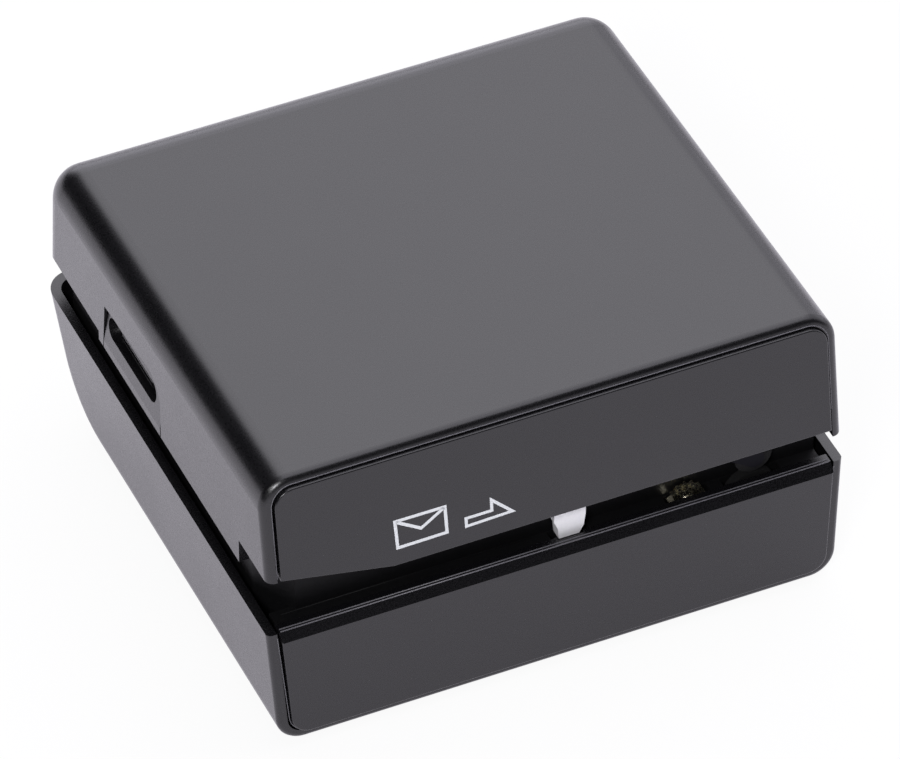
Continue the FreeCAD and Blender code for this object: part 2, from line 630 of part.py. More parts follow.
def make_hood_front_plate():
    """Proud front panel of the hood; its edge flares up over the entry end of the mouth."""
    back = "(-front_reach - hood_front_over + hood_plate_depth)"
    half = "(%s - wall - plate_gap)" % HOOD_HALF
    top = "(rim_height + hood_gap + hood_front_rise - hood_top_wall - plate_gap)"
    panel = prism("hood_plate_panel", "XZ_Plane", HOOD_FRONT + " - 10", HOOD_FRONT + " + 12", (
        ("-" + half, "rim_height + mouth_height + mouth_flare"),
        ("-%s + flare_length" % half, "rim_height + mouth_height"),
        (half, "rim_height + mouth_height"),
        (half, top),
        ("-" + half, top),
    ))
    height = size(top)
    round_edges(panel, "hood_plate_corners", "plate_corner",
                lambda e: abs(middle(e).z - height) < 0.01 and abs(middle(e).x) > 1)
    for name, face, far in (("front", HOOD_PLATE_FACE, HOOD_FRONT + " - 11"), ("back", back, HOOD_FRONT + " + 13")):
        pocket_through(panel, "hood_plate_" + name, "YZ_Plane", (
            (face, HOOD_LOW),
            (face + " + hood_front_lean", HOOD_FRONT_TOP),
            (far, HOOD_FRONT_TOP),
            (far, HOOD_LOW),
        ))
    low, high, lean = size(HOOD_LOW), size(HOOD_FRONT_TOP), size("hood_front_lean")
    round_edges(panel, "hood_plate_edge", "plate_edge", lambda e: all(
        abs(v.Point.y - front_y(size(HOOD_PLATE_FACE), lean, low, high, v.Point.z)) < 0.02 for v in e.Vertexes))
    bores = [rod("plate_pilot_" + name, "press_pin_radius + fit_gap", x, GUIDE_FRONT + " - 1.7",
                 GUIDE_FRONT + " + 1", GUIDE_SCREW_Z) for name, x in GUIDE_SCREWS]
    node(cut("hood_plate_cut", panel, bores), "hood_front_plate")


# ---------------------------------------------------------------- drive positions

MODULE_HALF = "gear_module / 2"
CUTTER_Z = "(rim_height + cutter_rise - cutter_radius)"
FEED_Z = "(rim_height + feed_rise - feed_radius)"
MOTOR_X = "(cutter_x + motor_dx)"
CUTTER_REACH = "((pinion_teeth + cutter_teeth) * gear_module / 2)"
MOTOR_Z = "(%s + sqrt(%s^2 - motor_dx^2))" % (CUTTER_Z, CUTTER_REACH)
IDLER_REACH = "((pinion_teeth + idler_teeth) * gear_module / 2)"
FEED_REACH = "((idler_small_teeth + feed_teeth) * gear_module / 2)"
SPAN_X = "(feed_x - %s)" % MOTOR_X
SPAN_Z = "(%s - %s)" % (FEED_Z, MOTOR_Z)
SPAN = "sqrt(%s^2 + %s^2)" % (SPAN_X, SPAN_Z)
ALONG = "((%s^2 - %s^2 + %s^2) / (2 * %s))" % (IDLER_REACH, FEED_REACH, SPAN, SPAN)
ACROSS = "sqrt(%s^2 - %s^2)" % (IDLER_REACH, ALONG)
IDLER_X = "(%s + (%s * %s - %s * %s) / %s)" % (MOTOR_X, ALONG, SPAN_X, ACROSS, SPAN_Z, SPAN)
IDLER_Z = "(%s + (%s * %s + %s * %s) / %s)" % (MOTOR_Z, ALONG, SPAN_Z, ACROSS, SPAN_X, SPAN)

WALL_BACK = "(-front_reach + guide_setback + neck_wall)"
PLANE_A = WALL_BACK + " + gear_clear"
PLANE_B = PLANE_A + " + gear_width + gear_space"
PLANE_C = PLANE_B + " + gear_width + gear_space"
PLATE_BACK = WELL_BACK + " - neck_wall"
PLATE_FRONT = PLATE_BACK + " - plate_thick"


# ---------------------------------------------------------------- chassis

def neck_outline(inset):
    """The chassis wall's outline from above, with the entry ramp at its front left."""
    return (
        ("-(%s - %s)" % (NECK_HALF, inset), "%s + ramp_depth + %s" % (GUIDE_Y, inset)),
        ("-(%s - ramp_width - %s)" % (NECK_HALF, inset), "%s + %s" % (GUIDE_Y, inset)),
        ("%s - %s" % (NECK_HALF, inset), "%s + %s" % (GUIDE_Y, inset)),
        ("%s - %s" % (NECK_HALF, inset), "%s - %s" % (NECK_BACK, inset)),
        ("-(%s - %s)" % (NECK_HALF, inset), "%s - %s" % (NECK_BACK, inset)),
    )


def neck_prism(name, inset, low, high):
    body = prism(name, "XY_Plane", low, high, neck_outline(inset))
    back = size(NECK_BACK) - size(inset)
    round_edges(body, name + "_corners", "neck_corner - " + inset,
                lambda e: abs(middle(e).y - back) < 0.01 and abs(abs(middle(e).x) - size(NECK_HALF) + size(inset)) < 0.01)
    return body


COVER_SCREWS = (
    ("front_left", "-post_x", "-(front_reach - 19)"),
    ("front_right", "post_x", "post_back_y - 25"),
    ("back_middle", "%s + 12.7" % TRAY_RIGHT, "tray_back - 5.2"),
    ("back_right", "post_x", "tray_back - 7.2"),
)
SWITCH_TOP = LEVER_Z + " - cam_radius - plunger_gap - 1"
SWITCH_LOW = SWITCH_TOP + " - switch_height"


def make_chassis():
    """Deck and neck that carry the works, with the guide wall, paper ledge and gear well."""
    outer = neck_prism("neck_outer", "0", DECK_LOW, NECK_TOP)
    inner = neck_prism("neck_inner", "neck_wall", DECK_TOP, NECK_TOP + " + 1")
    well = box("well_outer", "well_left", "well_right", GUIDE_Y, WELL_BACK, WELL_LOW, DECK_TOP)
    well_room = box("well_room", "well_left + neck_wall", "well_right - neck_wall", WALL_BACK, PLATE_BACK,
                    WELL_LOW + " + neck_wall", DECK_TOP + " + 1")
    ledge_y = "(-front_reach + base_plate_depth + 0.2)"
    ledge = box("paper_ledge", "-" + NECK_HALF, NECK_HALF, ledge_y, GUIDE_Y + " + neck_wall / 2",
                "rim_height - ledge_drop - ledge_thick", "rim_height - ledge_drop")
    ledge_end = GUIDE_Y + " - 0.4"
    ledge_low, ledge_high = "rim_height - 2 * ledge_drop - ledge_thick", "rim_height"
    holes = [inner, well_room]
    for name, x0, x1 in (("lever", "lever_x - 4", "lever_x + 4.4"),
                         ("cutter", "cutter_x - cutter_radius - 0.8", "cutter_x + cutter_radius + 0.8"),
                         ("feed", "feed_x - feed_radius - 0.5", "feed_x + feed_radius + 0.5")):
        holes.append(box("ledge_gap_" + name, x0, x1, ledge_y + " - 1", ledge_end, ledge_low, ledge_high))
    for name, x, z, radius in (("cutter", "cutter_x", CUTTER_Z, "bush_radius + fit_gap"),
                               ("feed", "feed_x", FEED_Z, "bush_radius + fit_gap"),
                               ("idler", IDLER_X, IDLER_Z, "axle_radius + fit_gap"),
                               ("lever", "lever_x", LEVER_Z, "lever_pin_radius + fit_gap")):
        holes.append(rod("guide_bore_" + name, radius, x, GUIDE_Y + " - 1", WALL_BACK + " + 1", z))
    holes.append(box("latch_way", "-%s - 1" % NECK_HALF, "-%s + neck_wall + 0.1" % NECK_HALF,
                     "latch_front_y - 2", "latch_back_y + 2", RIM + " + ledge_thick", NECK_TOP + " + 2"))
    extra = [outer, well, ledge]
    late = []
    for i, sign in enumerate(("-", "")):
        y = "(%shinge_y)" % sign
        for j, (y0, y1) in enumerate((
                (y + " - lug_length / 2 - hinge_gap - knuckle_length", y + " - lug_length / 2 - hinge_gap"),
                (y + " + lug_length / 2 + hinge_gap", y + " + lug_length / 2 + hinge_gap + knuckle_length"))):
            late.append(rod("ear_%d_%d" % (i, j), "knuckle_radius", "hinge_x", y0, y1, HINGE_Z))
            late.append(box("ear_foot_%d_%d" % (i, j), "hinge_x - knuckle_radius", "hinge_x", y0, y1,
                            DECK_LOW, HINGE_Z))
        holes.append(box("lug_way_%d" % i, NECK_HALF + " - neck_wall - 1", NECK_HALF + " + 1",
                         y + " - lug_length / 2 - hinge_gap", y + " + lug_length / 2 + hinge_gap",
                         HINGE_Z + " - knuckle_radius - hinge_gap", NECK_TOP + " + 1"))
    holes.append(prism("back_slant", "YZ_Plane", "-" + BASE_HALF, BASE_HALF, (
        (NECK_BACK, RIM),
        (NECK_BACK + " - base_back_lean * (deck_drop + 1) / (rim_height - foot_height)", DECK_LOW + " - 1"),
        (NECK_BACK + " + 5", DECK_LOW + " - 1"),
        (NECK_BACK + " + 5", RIM),
    )))
    frame = cut("chassis_frame", fuse("chassis_blank", extra), holes)
    bores = []
    for i, sign in enumerate(("-", "")):
        bores.append(rod("ear_bore_%d" % i, "hinge_pin_radius + fit_gap", "hinge_x",
                         "%shinge_y - 10" % sign, "%shinge_y + 10" % sign, HINGE_Z))
    for i, (sign, y) in enumerate((s, y) for s in ("", "-") for y in ("-post_front_y", "post_back_y")):
        late.append(post("deck_boss_%d" % i, "2.2 * screw_radius", sign + "post_x", y,
                         DECK_LOW + " - screw_reach", DECK_LOW + " + deck_thick / 2"))
        bores.append(post("deck_bore_%d" % i, "screw_radius + fit_gap", sign + "post_x", y,
                          DECK_LOW + " - screw_reach - 1", DECK_LOW + " + deck_thick / 2"))
    for name, x, y in COVER_SCREWS:
        late.append(post("cover_post_" + name, "2.4 * screw_radius", x, y, DECK_TOP, NECK_TOP))
        bores.append(post("cover_bore_" + name, "screw_radius + fit_gap", x, y,
                          NECK_TOP + " - 2 * screw_reach", NECK_TOP + " + 1"))
    late.append(box("switch_seat", "lever_x - switch_length / 2", "lever_x + switch_length / 2",
                    WALL_BACK + " - 0.1", WALL_BACK + " + 0.2 + switch_depth", DECK_LOW, SWITCH_LOW))
    node(cut("chassis_cut", fuse("chassis_fuse", [frame] + late), bores), "chassis")


def make_fasteners():
    """Case screws from below, cover screws from above, feet and hinge pins."""
    solids = []
    for i, (sign, y) in enumerate((s, y) for s in ("", "-") for y in ("-post_front_y", "post_back_y")):
        x = sign + "post_x"
        head_top = "foot_height + screw_head_height + 0.6"
        head = post("case_head_%d" % i, "screw_head_radius", x, y, "foot_height + 0.6", head_top)
        shank = post("case_shank_%d" % i, "screw_radius", x, y, head_top, DECK_LOW + " + deck_thick / 4")
        slot = box("case_slot_%d" % i, x + " - 2", x + " + 2", y + " - 0.4", y + " + 0.4",
                   "foot_height", "foot_height + 1.4")
        solids.append(cut("case_screw_%d" % i, fuse("case_blank_%d" % i, [head, shank]), [slot]))
    node(group("case_screw_group", solids), "case_screws")
    solids = []
    top = NECK_TOP + " + cover_thick"
    for name, x, y in COVER_SCREWS:
        head = post("cover_head_" + name, "screw_head_radius", x, y, top, top + " + screw_head_height")
        shank = post("cover_shank_" + name, "screw_radius", x, y, NECK_TOP + " - 1.5 * screw_reach", top)
        slot = box("cover_slot_" + name, x + " - 2", x + " + 2", y + " - 0.4", y + " + 0.4",
                   top + " + 1", top + " + screw_head_height + 1")
        solids.append(cut("cover_screw_" + name, fuse("cover_blank_" + name, [head, shank]), [slot]))
    node(group("cover_screw_group", solids), "cover_screws")
    solids = []
    for i, (sign, y) in enumerate((s, y) for s in ("", "-") for y in ("-foot_front_y", "foot_back_y")):
        solids.append(post("foot_%d" % i, "foot_radius", sign + "post_x", y,
                           "0", "foot_height + foot_recess"))
    node(group("foot_group", solids), "rubber_feet")
    solids = []
    reach = "(lug_length / 2 + hinge_gap + knuckle_length)"
    for i, sign in enumerate(("-", "")):
        y = "(%shinge_y)" % sign
        solids.append(rod("hinge_pin_%d" % i, "hinge_pin_radius", "hinge_x", y + " - " + reach,
                          y + " + " + reach, HINGE_Z))
    node(group("hinge_pin_group", solids), "hinge_pins")


# ---------------------------------------------------------------- gears and shafts

def gear_points(teeth, module, backlash, phase):
    """Involute outline; each tooth has root, two flanks of three points, and tip."""
    pitch = module * teeth / 2
    base = pitch * math.cos(math.radians(20))
    tip, root = pitch + 0.85 * module, pitch - 1.2 * module
    half = math.pi / (2 * teeth) - backlash / (4 * pitch)

    def spread(radius):
        ratio = max(radius / base, 1.0)
        angle = math.sqrt(ratio * ratio - 1)
        return angle - math.atan(angle)

    stations = (root, max(base, root + 0.01), (max(base, root) + 2 * tip) / 3, tip)
    points = []
    for k in range(teeth):
        centre = phase + 2 * math.pi * k / teeth
        flank = [(r, half + spread(pitch) - spread(r)) for r in stations]
        for r, a in flank:
            points.append((r * math.cos(centre - a), r * math.sin(centre - a)))
        for r, a in reversed(flank):
            points.append((r * math.cos(centre + a), r * math.sin(centre + a)))
    return points


def blade_points(cuts, radius, depth):
    """Saw-toothed outline of the cutter wheel."""
    points = []
    for k in range(cuts):
        start = 2 * math.pi * k / cuts
        for r, share in ((radius - depth, 0.0), (radius, 0.55), (radius, 0.7)):
            angle = start + 2 * math.pi / cuts * share
            points.append((r * math.cos(angle), r * math.sin(angle)))
    return points


def wheel(name, points, x, z, y0, y1):
    """An outline in the XZ plane, drawn out along Y."""
    corners = [FreeCAD.Vector(u, 0, v) for u, v in points]
    outline = doc.addObject("Part::Feature", name + "_outline")
    outline.Shape = Part.Face(Part.makePolygon(corners + corners[:1]))
    for axis, place in (("x", x), ("y", y0), ("z", z)):
        outline.setExpression("Placement.Base." + axis, bound(place))
    solid = doc.addObject("Part::Extrusion", name)
    solid.Base = outline
    solid.DirMode = "Custom"
    solid.Dir = FreeCAD.Vector(0, 1, 0)
    solid.Solid = True
    solid.setExpression("LengthFwd", bound("(%s) - (%s)" % (y1, y0)))
    return solid


def gear(name, teeth, x, z, y0, y1, phase):
    return wheel(name, gear_points(int(round(size(teeth))), size("gear_module"), size("gear_backlash"), phase),
                 x, z, y0, y1)


def mesh_phase(phase, teeth, x, z, mate_teeth, mate_x, mate_z):
    """Turn of the mate that puts its gap over the first gear's tooth."""
    toward = math.atan2(size(mate_z) - size(z), size(mate_x) - size(x))
    pitch, mate_pitch = 2 * math.pi / size(teeth), 2 * math.pi / size(mate_teeth)
    return toward + math.pi - mate_pitch * (0.5 - (toward - phase) / pitch)


WHEEL_BACK = GUIDE_Y + " - lever_wall_gap"
SHAFT_FRONT = WHEEL_BACK + " - feed_width"
SHAFT_BACK = PLATE_BACK + " - 0.3"
MOTOR_BACK = PLATE_BACK + " + motor_length"


def make_drive():
    """Motor, two-stage gear train, cutter wheel and feed wheel."""
    whole = "(gear_width + gear_space + gear_width)"
    pinion = gear("pinion", "pinion_teeth", MOTOR_X, MOTOR_Z, PLANE_B, PLANE_B + " + " + whole, 0.0)
    hole = rod("pinion_hole", "motor_shaft_radius", MOTOR_X, PLANE_B + " - 1", PLATE_BACK, MOTOR_Z)
    node(cut("pinion_cut", pinion, [hole]), "motor_pinion")
    node(rod("motor_shaft_rod", "motor_shaft_radius", MOTOR_X, PLANE_B + " - 0.2",
             MOTOR_BACK + " + motor_cap / 2", MOTOR_Z), "motor_shaft")

    phase = mesh_phase(0.0, "pinion_teeth", MOTOR_X, MOTOR_Z, "cutter_teeth", "cutter_x", CUTTER_Z)
    blank = gear("cutter_gear_blank", "cutter_teeth", "cutter_x", CUTTER_Z, PLANE_C,
                 PLANE_C + " + gear_width", phase)
    hub = rod("cutter_gear_hub", "2 * axle_radius", "cutter_x", PLANE_C + " - 2 * gear_space", PLANE_C, CUTTER_Z)
    hole = rod("cutter_gear_hole", "axle_radius", "cutter_x", PLANE_A, PLATE_BACK, CUTTER_Z)
    node(cut("cutter_gear_cut", fuse("cutter_gear_fuse", [blank, hub]), [hole]), "cutter_gear")
    node(rod("cutter_rod", "axle_radius", "cutter_x", SHAFT_FRONT, SHAFT_BACK, CUTTER_Z), "cutter_shaft")
    blade = wheel("blade_blank", blade_points(int(round(size("cutter_cuts"))), size("cutter_radius"),
                                              size("cutter_tooth")),
                  "cutter_x", CUTTER_Z, WHEEL_BACK + " - cutter_width", WHEEL_BACK)
    hole = rod("blade_hole", "axle_radius", "cutter_x", SHAFT_FRONT + " - 1", GUIDE_Y, CUTTER_Z)
    node(cut("blade_cut", blade, [hole]), "cutter_wheel")

    phase = mesh_phase(0.0, "pinion_teeth", MOTOR_X, MOTOR_Z, "idler_teeth", IDLER_X, IDLER_Z)
    large = gear("idler_large", "idler_teeth", IDLER_X, IDLER_Z, PLANE_B, PLANE_B + " + gear_width", phase)
    small = gear("idler_small", "idler_small_teeth", IDLER_X, IDLER_Z, PLANE_A,
                 PLANE_B + " + 0.1", phase)
    hole = rod("idler_hole", "axle_radius + 2 * fit_gap", IDLER_X, PLANE_A + " - 1", PLANE_C, IDLER_Z)
    windows = []
    for k in range(5):
        angle = math.radians(72 * k + 36)
        windows.append(rod("idler_window_%d" % k, "1.7 * gear_module / 0.7",
                           IDLER_X + " + (idler_teeth * gear_module / 3) * %.5f" % math.cos(angle),
                           PLANE_B + " - 0.5", PLANE_C,
                           IDLER_Z + " + (idler_teeth * gear_module / 3) * %.5f" % math.sin(angle)))
    node(cut("idler_cut", fuse("idler_fuse", [large, small]), [hole] + windows), "idler_gear")
    node(rod("idler_axle_rod", "axle_radius", IDLER_X, GUIDE_Y + " + 0.2", PLATE_BACK, IDLER_Z), "idler_axle")

    phase = mesh_phase(phase, "idler_small_teeth", IDLER_X, IDLER_Z, "feed_teeth", "feed_x", FEED_Z)
    blank = gear("feed_gear_blank", "feed_teeth", "feed_x", FEED_Z, PLANE_A, PLANE_A + " + gear_width", phase)
    hub = rod("feed_gear_hub", "1.6 * axle_radius", "feed_x", PLANE_B, PLANE_B + " + gear_width", FEED_Z)
    joint = rod("feed_gear_joint", "1.6 * axle_radius", "feed_x", PLANE_A + " + 1", PLANE_B + " + 1", FEED_Z)
    hole = rod("feed_gear_hole", "axle_radius", "feed_x", PLANE_A + " - 1", PLANE_C + " + 1", FEED_Z)
    node(cut("feed_gear_cut", fuse("feed_gear_fuse", [blank, hub, joint]), [hole]), "feed_gear")
    node(rod("feed_rod", "axle_radius", "feed_x", SHAFT_FRONT, SHAFT_BACK, FEED_Z), "feed_shaft")
    rim = rod("feed_hub_rod", "feed_radius - feed_tyre", "feed_x", SHAFT_FRONT, WHEEL_BACK, FEED_Z)
    hole = rod("feed_hub_hole", "axle_radius", "feed_x", SHAFT_FRONT + " - 1", GUIDE_Y, FEED_Z)
    node(cut("feed_hub_cut", rim, [hole]), "feed_hub")
    tyre = rod("feed_tyre_rod", "feed_radius", "feed_x", SHAFT_FRONT, WHEEL_BACK, FEED_Z)
    hole = rod("feed_tyre_hole", "feed_radius - feed_tyre", "feed_x", SHAFT_FRONT + " - 1", GUIDE_Y, FEED_Z)
    node(cut("feed_tyre_cut", tyre, [hole]), "feed_tyre")


def make_bearings():
    """Bearing plate across the gear well, with its bushes and the motor behind it."""
    slab = box("plate_slab", "well_left + neck_wall + 0.6", "well_right - neck_wall - 0.6", PLATE_FRONT,
               PLATE_BACK, WELL_LOW + " + neck_wall", MOTOR_Z + " + motor_radius")
    bores = [
        rod("plate_bore_cutter", "bush_radius + fit_gap", "cutter_x", PLATE_FRONT + " - 1", PLATE_BACK + " + 1",
            CUTTER_Z),
        rod("plate_bore_feed", "bush_radius + fit_gap", "feed_x", PLATE_FRONT + " - 1", PLATE_BACK + " + 1",
            FEED_Z),
        rod("plate_bore_idler", "axle_radius + fit_gap", IDLER_X, PLATE_FRONT + " - 1", PLATE_BACK + " + 1",
            IDLER_Z),
        rod("plate_bore_motor", "motor_shaft_radius + 0.6", MOTOR_X, PLATE_FRONT + " - 1", PLATE_BACK + " + 1",
            MOTOR_Z),
    ]
    screws, taps = [], []
    for i, sign in enumerate(("", "-")):
        x = MOTOR_X + " + (%s0.4 * motor_radius)" % sign
        z = MOTOR_Z + " + (%s0.4 * motor_radius)" % sign
        bores.append(rod("plate_bore_screw_%d" % i, "motor_shaft_radius + fit_gap", x, PLATE_FRONT + " - 1",
                         PLATE_BACK + " + 1", z))
        taps.append(rod("motor_tap_%d" % i, "motor_shaft_radius + fit_gap", x, PLATE_BACK + " - 1",
                        PLATE_BACK + " + 2 * motor_wall", z))
        head = rod("motor_head_%d" % i, "1.5 * motor_shaft_radius", x, PLATE_FRONT + " - 0.6", PLATE_FRONT, z)
        shank = rod("motor_shank_%d" % i, "motor_shaft_radius", x, PLATE_FRONT, PLATE_BACK + " + motor_wall", z)
        screws.append(fuse("motor_screw_%d" % i, [head, shank]))
    node(cut("plate_cut", slab, bores), "bearing_plate")
    node(group("motor_screw_group", screws), "motor_screws")

    bushes = []
    for name, x, z in (("cutter", "cutter_x", CUTTER_Z), ("feed", "feed_x", FEED_Z)):
        for end, y0, y1 in (("front", GUIDE_Y + " - 0.2", WALL_BACK + " + 0.4"),
                            ("back", PLATE_FRONT + " - 0.3", PLATE_BACK)):
            outer = rod("bush_%s_%s" % (name, end), "bush_radius", x, y0, y1, z)
            inner = rod("bush_bore_%s_%s" % (name, end), "axle_radius + fit_gap", x, y0 + " - 1", y1 + " + 1", z)
            bushes.append(cut("bush_cut_%s_%s" % (name, end), outer, [inner]))
    node(group("bush_group", bushes), "bearing_bushes")

    def flat_round(name, radius, flat, y0, y1):
        return common(name, rod(name + "_rod", radius, MOTOR_X, y0, y1, MOTOR_Z),
                      box(name + "_flats", MOTOR_X + " - motor_radius", MOTOR_X + " + motor_radius", y0, y1,
                          MOTOR_Z + " - " + flat, MOTOR_Z + " + " + flat))

    can = flat_round("can_outer", "motor_radius", "motor_flat", PLATE_BACK, MOTOR_BACK)
    room = flat_round("can_room", "motor_radius - motor_wall", "(motor_flat - motor_wall)",
                      PLATE_BACK + " + motor_wall", MOTOR_BACK + " + 1")
    hole = rod("can_hole", "motor_shaft_radius + fit_gap", MOTOR_X, PLATE_BACK + " - 1",
               PLATE_BACK + " + 2 * motor_wall", MOTOR_Z)
    node(cut("can_cut", can, [room, hole] + taps), "motor_can")
    plug = flat_round("cap_plug", "motor_radius - motor_wall - fit_gap", "(motor_flat - motor_wall - fit_gap)",
                      MOTOR_BACK + " - 2", MOTOR_BACK)
    disc = flat_round("cap_disc", "motor_radius - motor_wall / 2", "(motor_flat - motor_wall / 2)",
                      MOTOR_BACK, MOTOR_BACK + " + motor_cap / 2")
    boss = rod("cap_boss", "3 * motor_shaft_radius", MOTOR_X, MOTOR_BACK, MOTOR_BACK + " + motor_cap", MOTOR_Z)
    hole = rod("cap_hole", "motor_shaft_radius + fit_gap", MOTOR_X, MOTOR_BACK + " - 3",
               MOTOR_BACK + " + motor_cap / 2 + 0.3", MOTOR_Z)
    tabs = [box("cap_tab_%d" % i, MOTOR_X + " + (%s6.5)" % sign, MOTOR_X + " + (%s6.5) + 0.8" % sign, MOTOR_BACK,
                MOTOR_BACK + " + motor_cap", MOTOR_Z + " - 1.2", MOTOR_Z + " + 1.2")
            for i, sign in enumerate(("", "-"))]
    node(cut("cap_cut", fuse("cap_fuse", [plug, disc, boss] + tabs), [hole]), "motor_end_cap")
    drum = rod("armature_drum", "armature_radius", MOTOR_X, PLATE_BACK + " + motor_length / 6",
               MOTOR_BACK + " - motor_length / 6", MOTOR_Z)
    collar = rod("armature_collar", "armature_radius / 2.5", MOTOR_X, MOTOR_BACK + " - motor_length / 6",
                 MOTOR_BACK + " - 2.5", MOTOR_Z)
    hole = rod("armature_hole", "motor_shaft_radius", MOTOR_X, PLATE_BACK, MOTOR_BACK, MOTOR_Z)
    slots = [box("armature_slot_%d" % i, MOTOR_X + " - " + a, MOTOR_X + " + " + a, PLATE_BACK, MOTOR_BACK + " - 5",
                 MOTOR_Z + " - " + b, MOTOR_Z + " + " + b)
             for i, (a, b) in enumerate((("0.8", "(armature_radius + 1)"), ("(armature_radius + 1)", "0.8")))]
    core = rod("armature_core", "armature_radius * 0.55", MOTOR_X, PLATE_BACK + " + motor_length / 6",
               MOTOR_BACK + " - motor_length / 6", MOTOR_Z)
    slotted = cut("armature_slotted", drum, slots)
    node(cut("armature_cut", fuse("armature_fuse", [slotted, core, collar]), [hole]), "motor_armature")

    block = box("cradle_block", MOTOR_X + " - motor_radius - 1.5", MOTOR_X + " + motor_radius + 1.5",
                PLATE_BACK + " + 0.4 * motor_length", PLATE_BACK + " + 0.9 * motor_length", DECK_TOP,
                MOTOR_Z + " - motor_radius / 3")
    seat = flat_round("cradle_seat", "motor_radius + fit_gap", "(motor_flat + fit_gap)", PLATE_BACK, MOTOR_BACK)
    node(cut("cradle_cut", block, [seat]), "motor_cradle")


# ---------------------------------------------------------------- start lever and switch

def make_start():
    """Lever that hangs across the slot, its cam behind the paper wall and the switch below."""
    front, back = WHEEL_BACK + " - lever_width", WHEEL_BACK
    tip = "rim_height - lever_tip_drop"
    half = "lever_body_width / 2"
    blade = prism("lever_blade", "XZ_Plane", front, back, (
        ("lever_x - lever_tip_width / 2 - 0.3", tip),
        ("lever_x + lever_tip_width / 2 - 0.3", tip),
        ("lever_x + %s - 0.5" % half, tip + " + 1.9"),
        ("lever_x + %s - 0.1" % half, tip + " + 5"),
        ("lever_x + %s - 0.1" % half, LEVER_Z),
        ("lever_x - %s + 0.1" % half, LEVER_Z),
        ("lever_x - %s - 0.3" % half, tip + " + 5"),
        ("lever_x - %s + 0.6" % half, tip + " + 2.9"),
    ))
    hub = rod("lever_hub", "lever_hub_radius", "lever_x", front, back, LEVER_Z)
    hole = rod("lever_hole", "lever_pin_radius", "lever_x", front + " - 1", back + " + 1", LEVER_Z)
    node(cut("lever_cut", fuse("lever_fuse", [blade, hub]), [hole]), "start_lever")
    pin_end = WALL_BACK + " + switch_depth"
    node(rod("lever_pin_rod", "lever_pin_radius", "lever_x", front, pin_end, LEVER_Z), "lever_pin")
    cam = rod("cam_disc", "cam_radius", "lever_x - cam_offset", WALL_BACK + " + 0.8", WALL_BACK + " + 3.8", LEVER_Z)
    collar = rod("cam_collar", "2 * lever_pin_radius", "lever_x", WALL_BACK + " + 0.8", WALL_BACK + " + 3.8", LEVER_Z)
    hole = rod("cam_hole", "lever_pin_radius", "lever_x", WALL_BACK, WALL_BACK + " + 5", LEVER_Z)
    node(cut("cam_cut", fuse("cam_fuse", [cam, collar]), [hole]), "lever_cam")
    turns = [ring("lever_turn_%d" % i, "1.5 * lever_pin_radius", "0.22", "lever_x",
                  WALL_BACK + " + 4.2 + %.2f" % (0.5 * i), LEVER_Z) for i in range(4)]
    node(group("lever_turns", turns), "lever_spring")

    y0, y1 = WALL_BACK + " + 0.2", WALL_BACK + " + 0.2 + switch_depth"
    x0, x1 = "lever_x - switch_length / 2", "lever_x + switch_length / 2"
    case = box("switch_case", x0, x1, y0, y1, SWITCH_LOW, SWITCH_TOP)
    x, y = "lever_x - cam_offset + 0.2", WALL_BACK + " + 2.3"
    hole = post("switch_hole", "plunger_radius + 2 * fit_gap", x, y, SWITCH_TOP + " - 6", SWITCH_TOP + " + 1")
    mounts = [rod("switch_mount_%d" % i, "1.1", xm, y0 + " - 1", y1 + " + 1", SWITCH_LOW + " + 2.5")
              for i, xm in enumerate((x0 + " + 3", x1 + " - 3"))]
    node(cut("switch_cut", case, [hole] + mounts), "switch_body")
    node(post("plunger_post", "plunger_radius", x, y, SWITCH_TOP + " - 4", SWITCH_TOP + " + 1"),
         "switch_plunger")


# ---------------------------------------------------------------- pressure roller and upper guide

PRESS_Z = "(%s + feed_radius + press_gap + press_radius)" % FEED_Z
ARM_X = "(feed_x - press_arm_dx)"
ARM_Z = "(%s + press_arm_dz)" % PRESS_Z
ARM_FRONT = "(%s - guide_thick - 0.9 - press_arm_thick / 2)" % GUIDE_Y
ARM_BACK = ARM_FRONT + " + press_arm_thick"


def make_press():
    """Sprung arm in the hood that presses its roller on the feed wheel."""
    bar = prism("arm_bar", "XZ_Plane", ARM_FRONT, ARM_BACK, (
        (ARM_X + " - 1.1", ARM_Z + " - 1.7"),
        ("feed_x - 1.1", PRESS_Z + " - 1.7"),
        ("feed_x + 1.1", PRESS_Z + " + 1.7"),
        (ARM_X + " + 1.1", ARM_Z + " + 1.7"),
    ))
    ends = [rod("arm_end_pivot", "2 * press_pin_radius", ARM_X, ARM_FRONT, ARM_BACK, ARM_Z),
            rod("arm_end_roller", "2 * press_pin_radius", "feed_x", ARM_FRONT, ARM_BACK, PRESS_Z)]
    holes = [rod("arm_hole_pivot", "press_pin_radius + fit_gap", ARM_X, ARM_FRONT + " - 1", ARM_BACK + " + 1",
                 ARM_Z),
             rod("arm_hole_roller", "press_pin_radius", "feed_x", ARM_FRONT + " - 1",
                 ARM_BACK + " + 1", PRESS_Z)]
    node(cut("arm_cut", fuse("arm_fuse", [bar] + ends), holes), "press_arm")
    node(rod("arm_pin_rod", "press_pin_radius", ARM_X, ARM_FRONT, GUIDE_BACK, ARM_Z), "press_arm_pin")
    outer = rod("press_outer", "press_radius", "feed_x", ARM_BACK + " + 0.2", WHEEL_BACK, PRESS_Z)
    inner = rod("press_inner", "press_pin_radius + fit_gap", "feed_x", ARM_BACK, GUIDE_Y, PRESS_Z)
    node(cut("press_cut", outer, [inner]), "press_roller")
    node(rod("press_pin_rod", "press_pin_radius", "feed_x", ARM_FRONT, WHEEL_BACK + " - 0.1", PRESS_Z),
         "press_roller_pin")


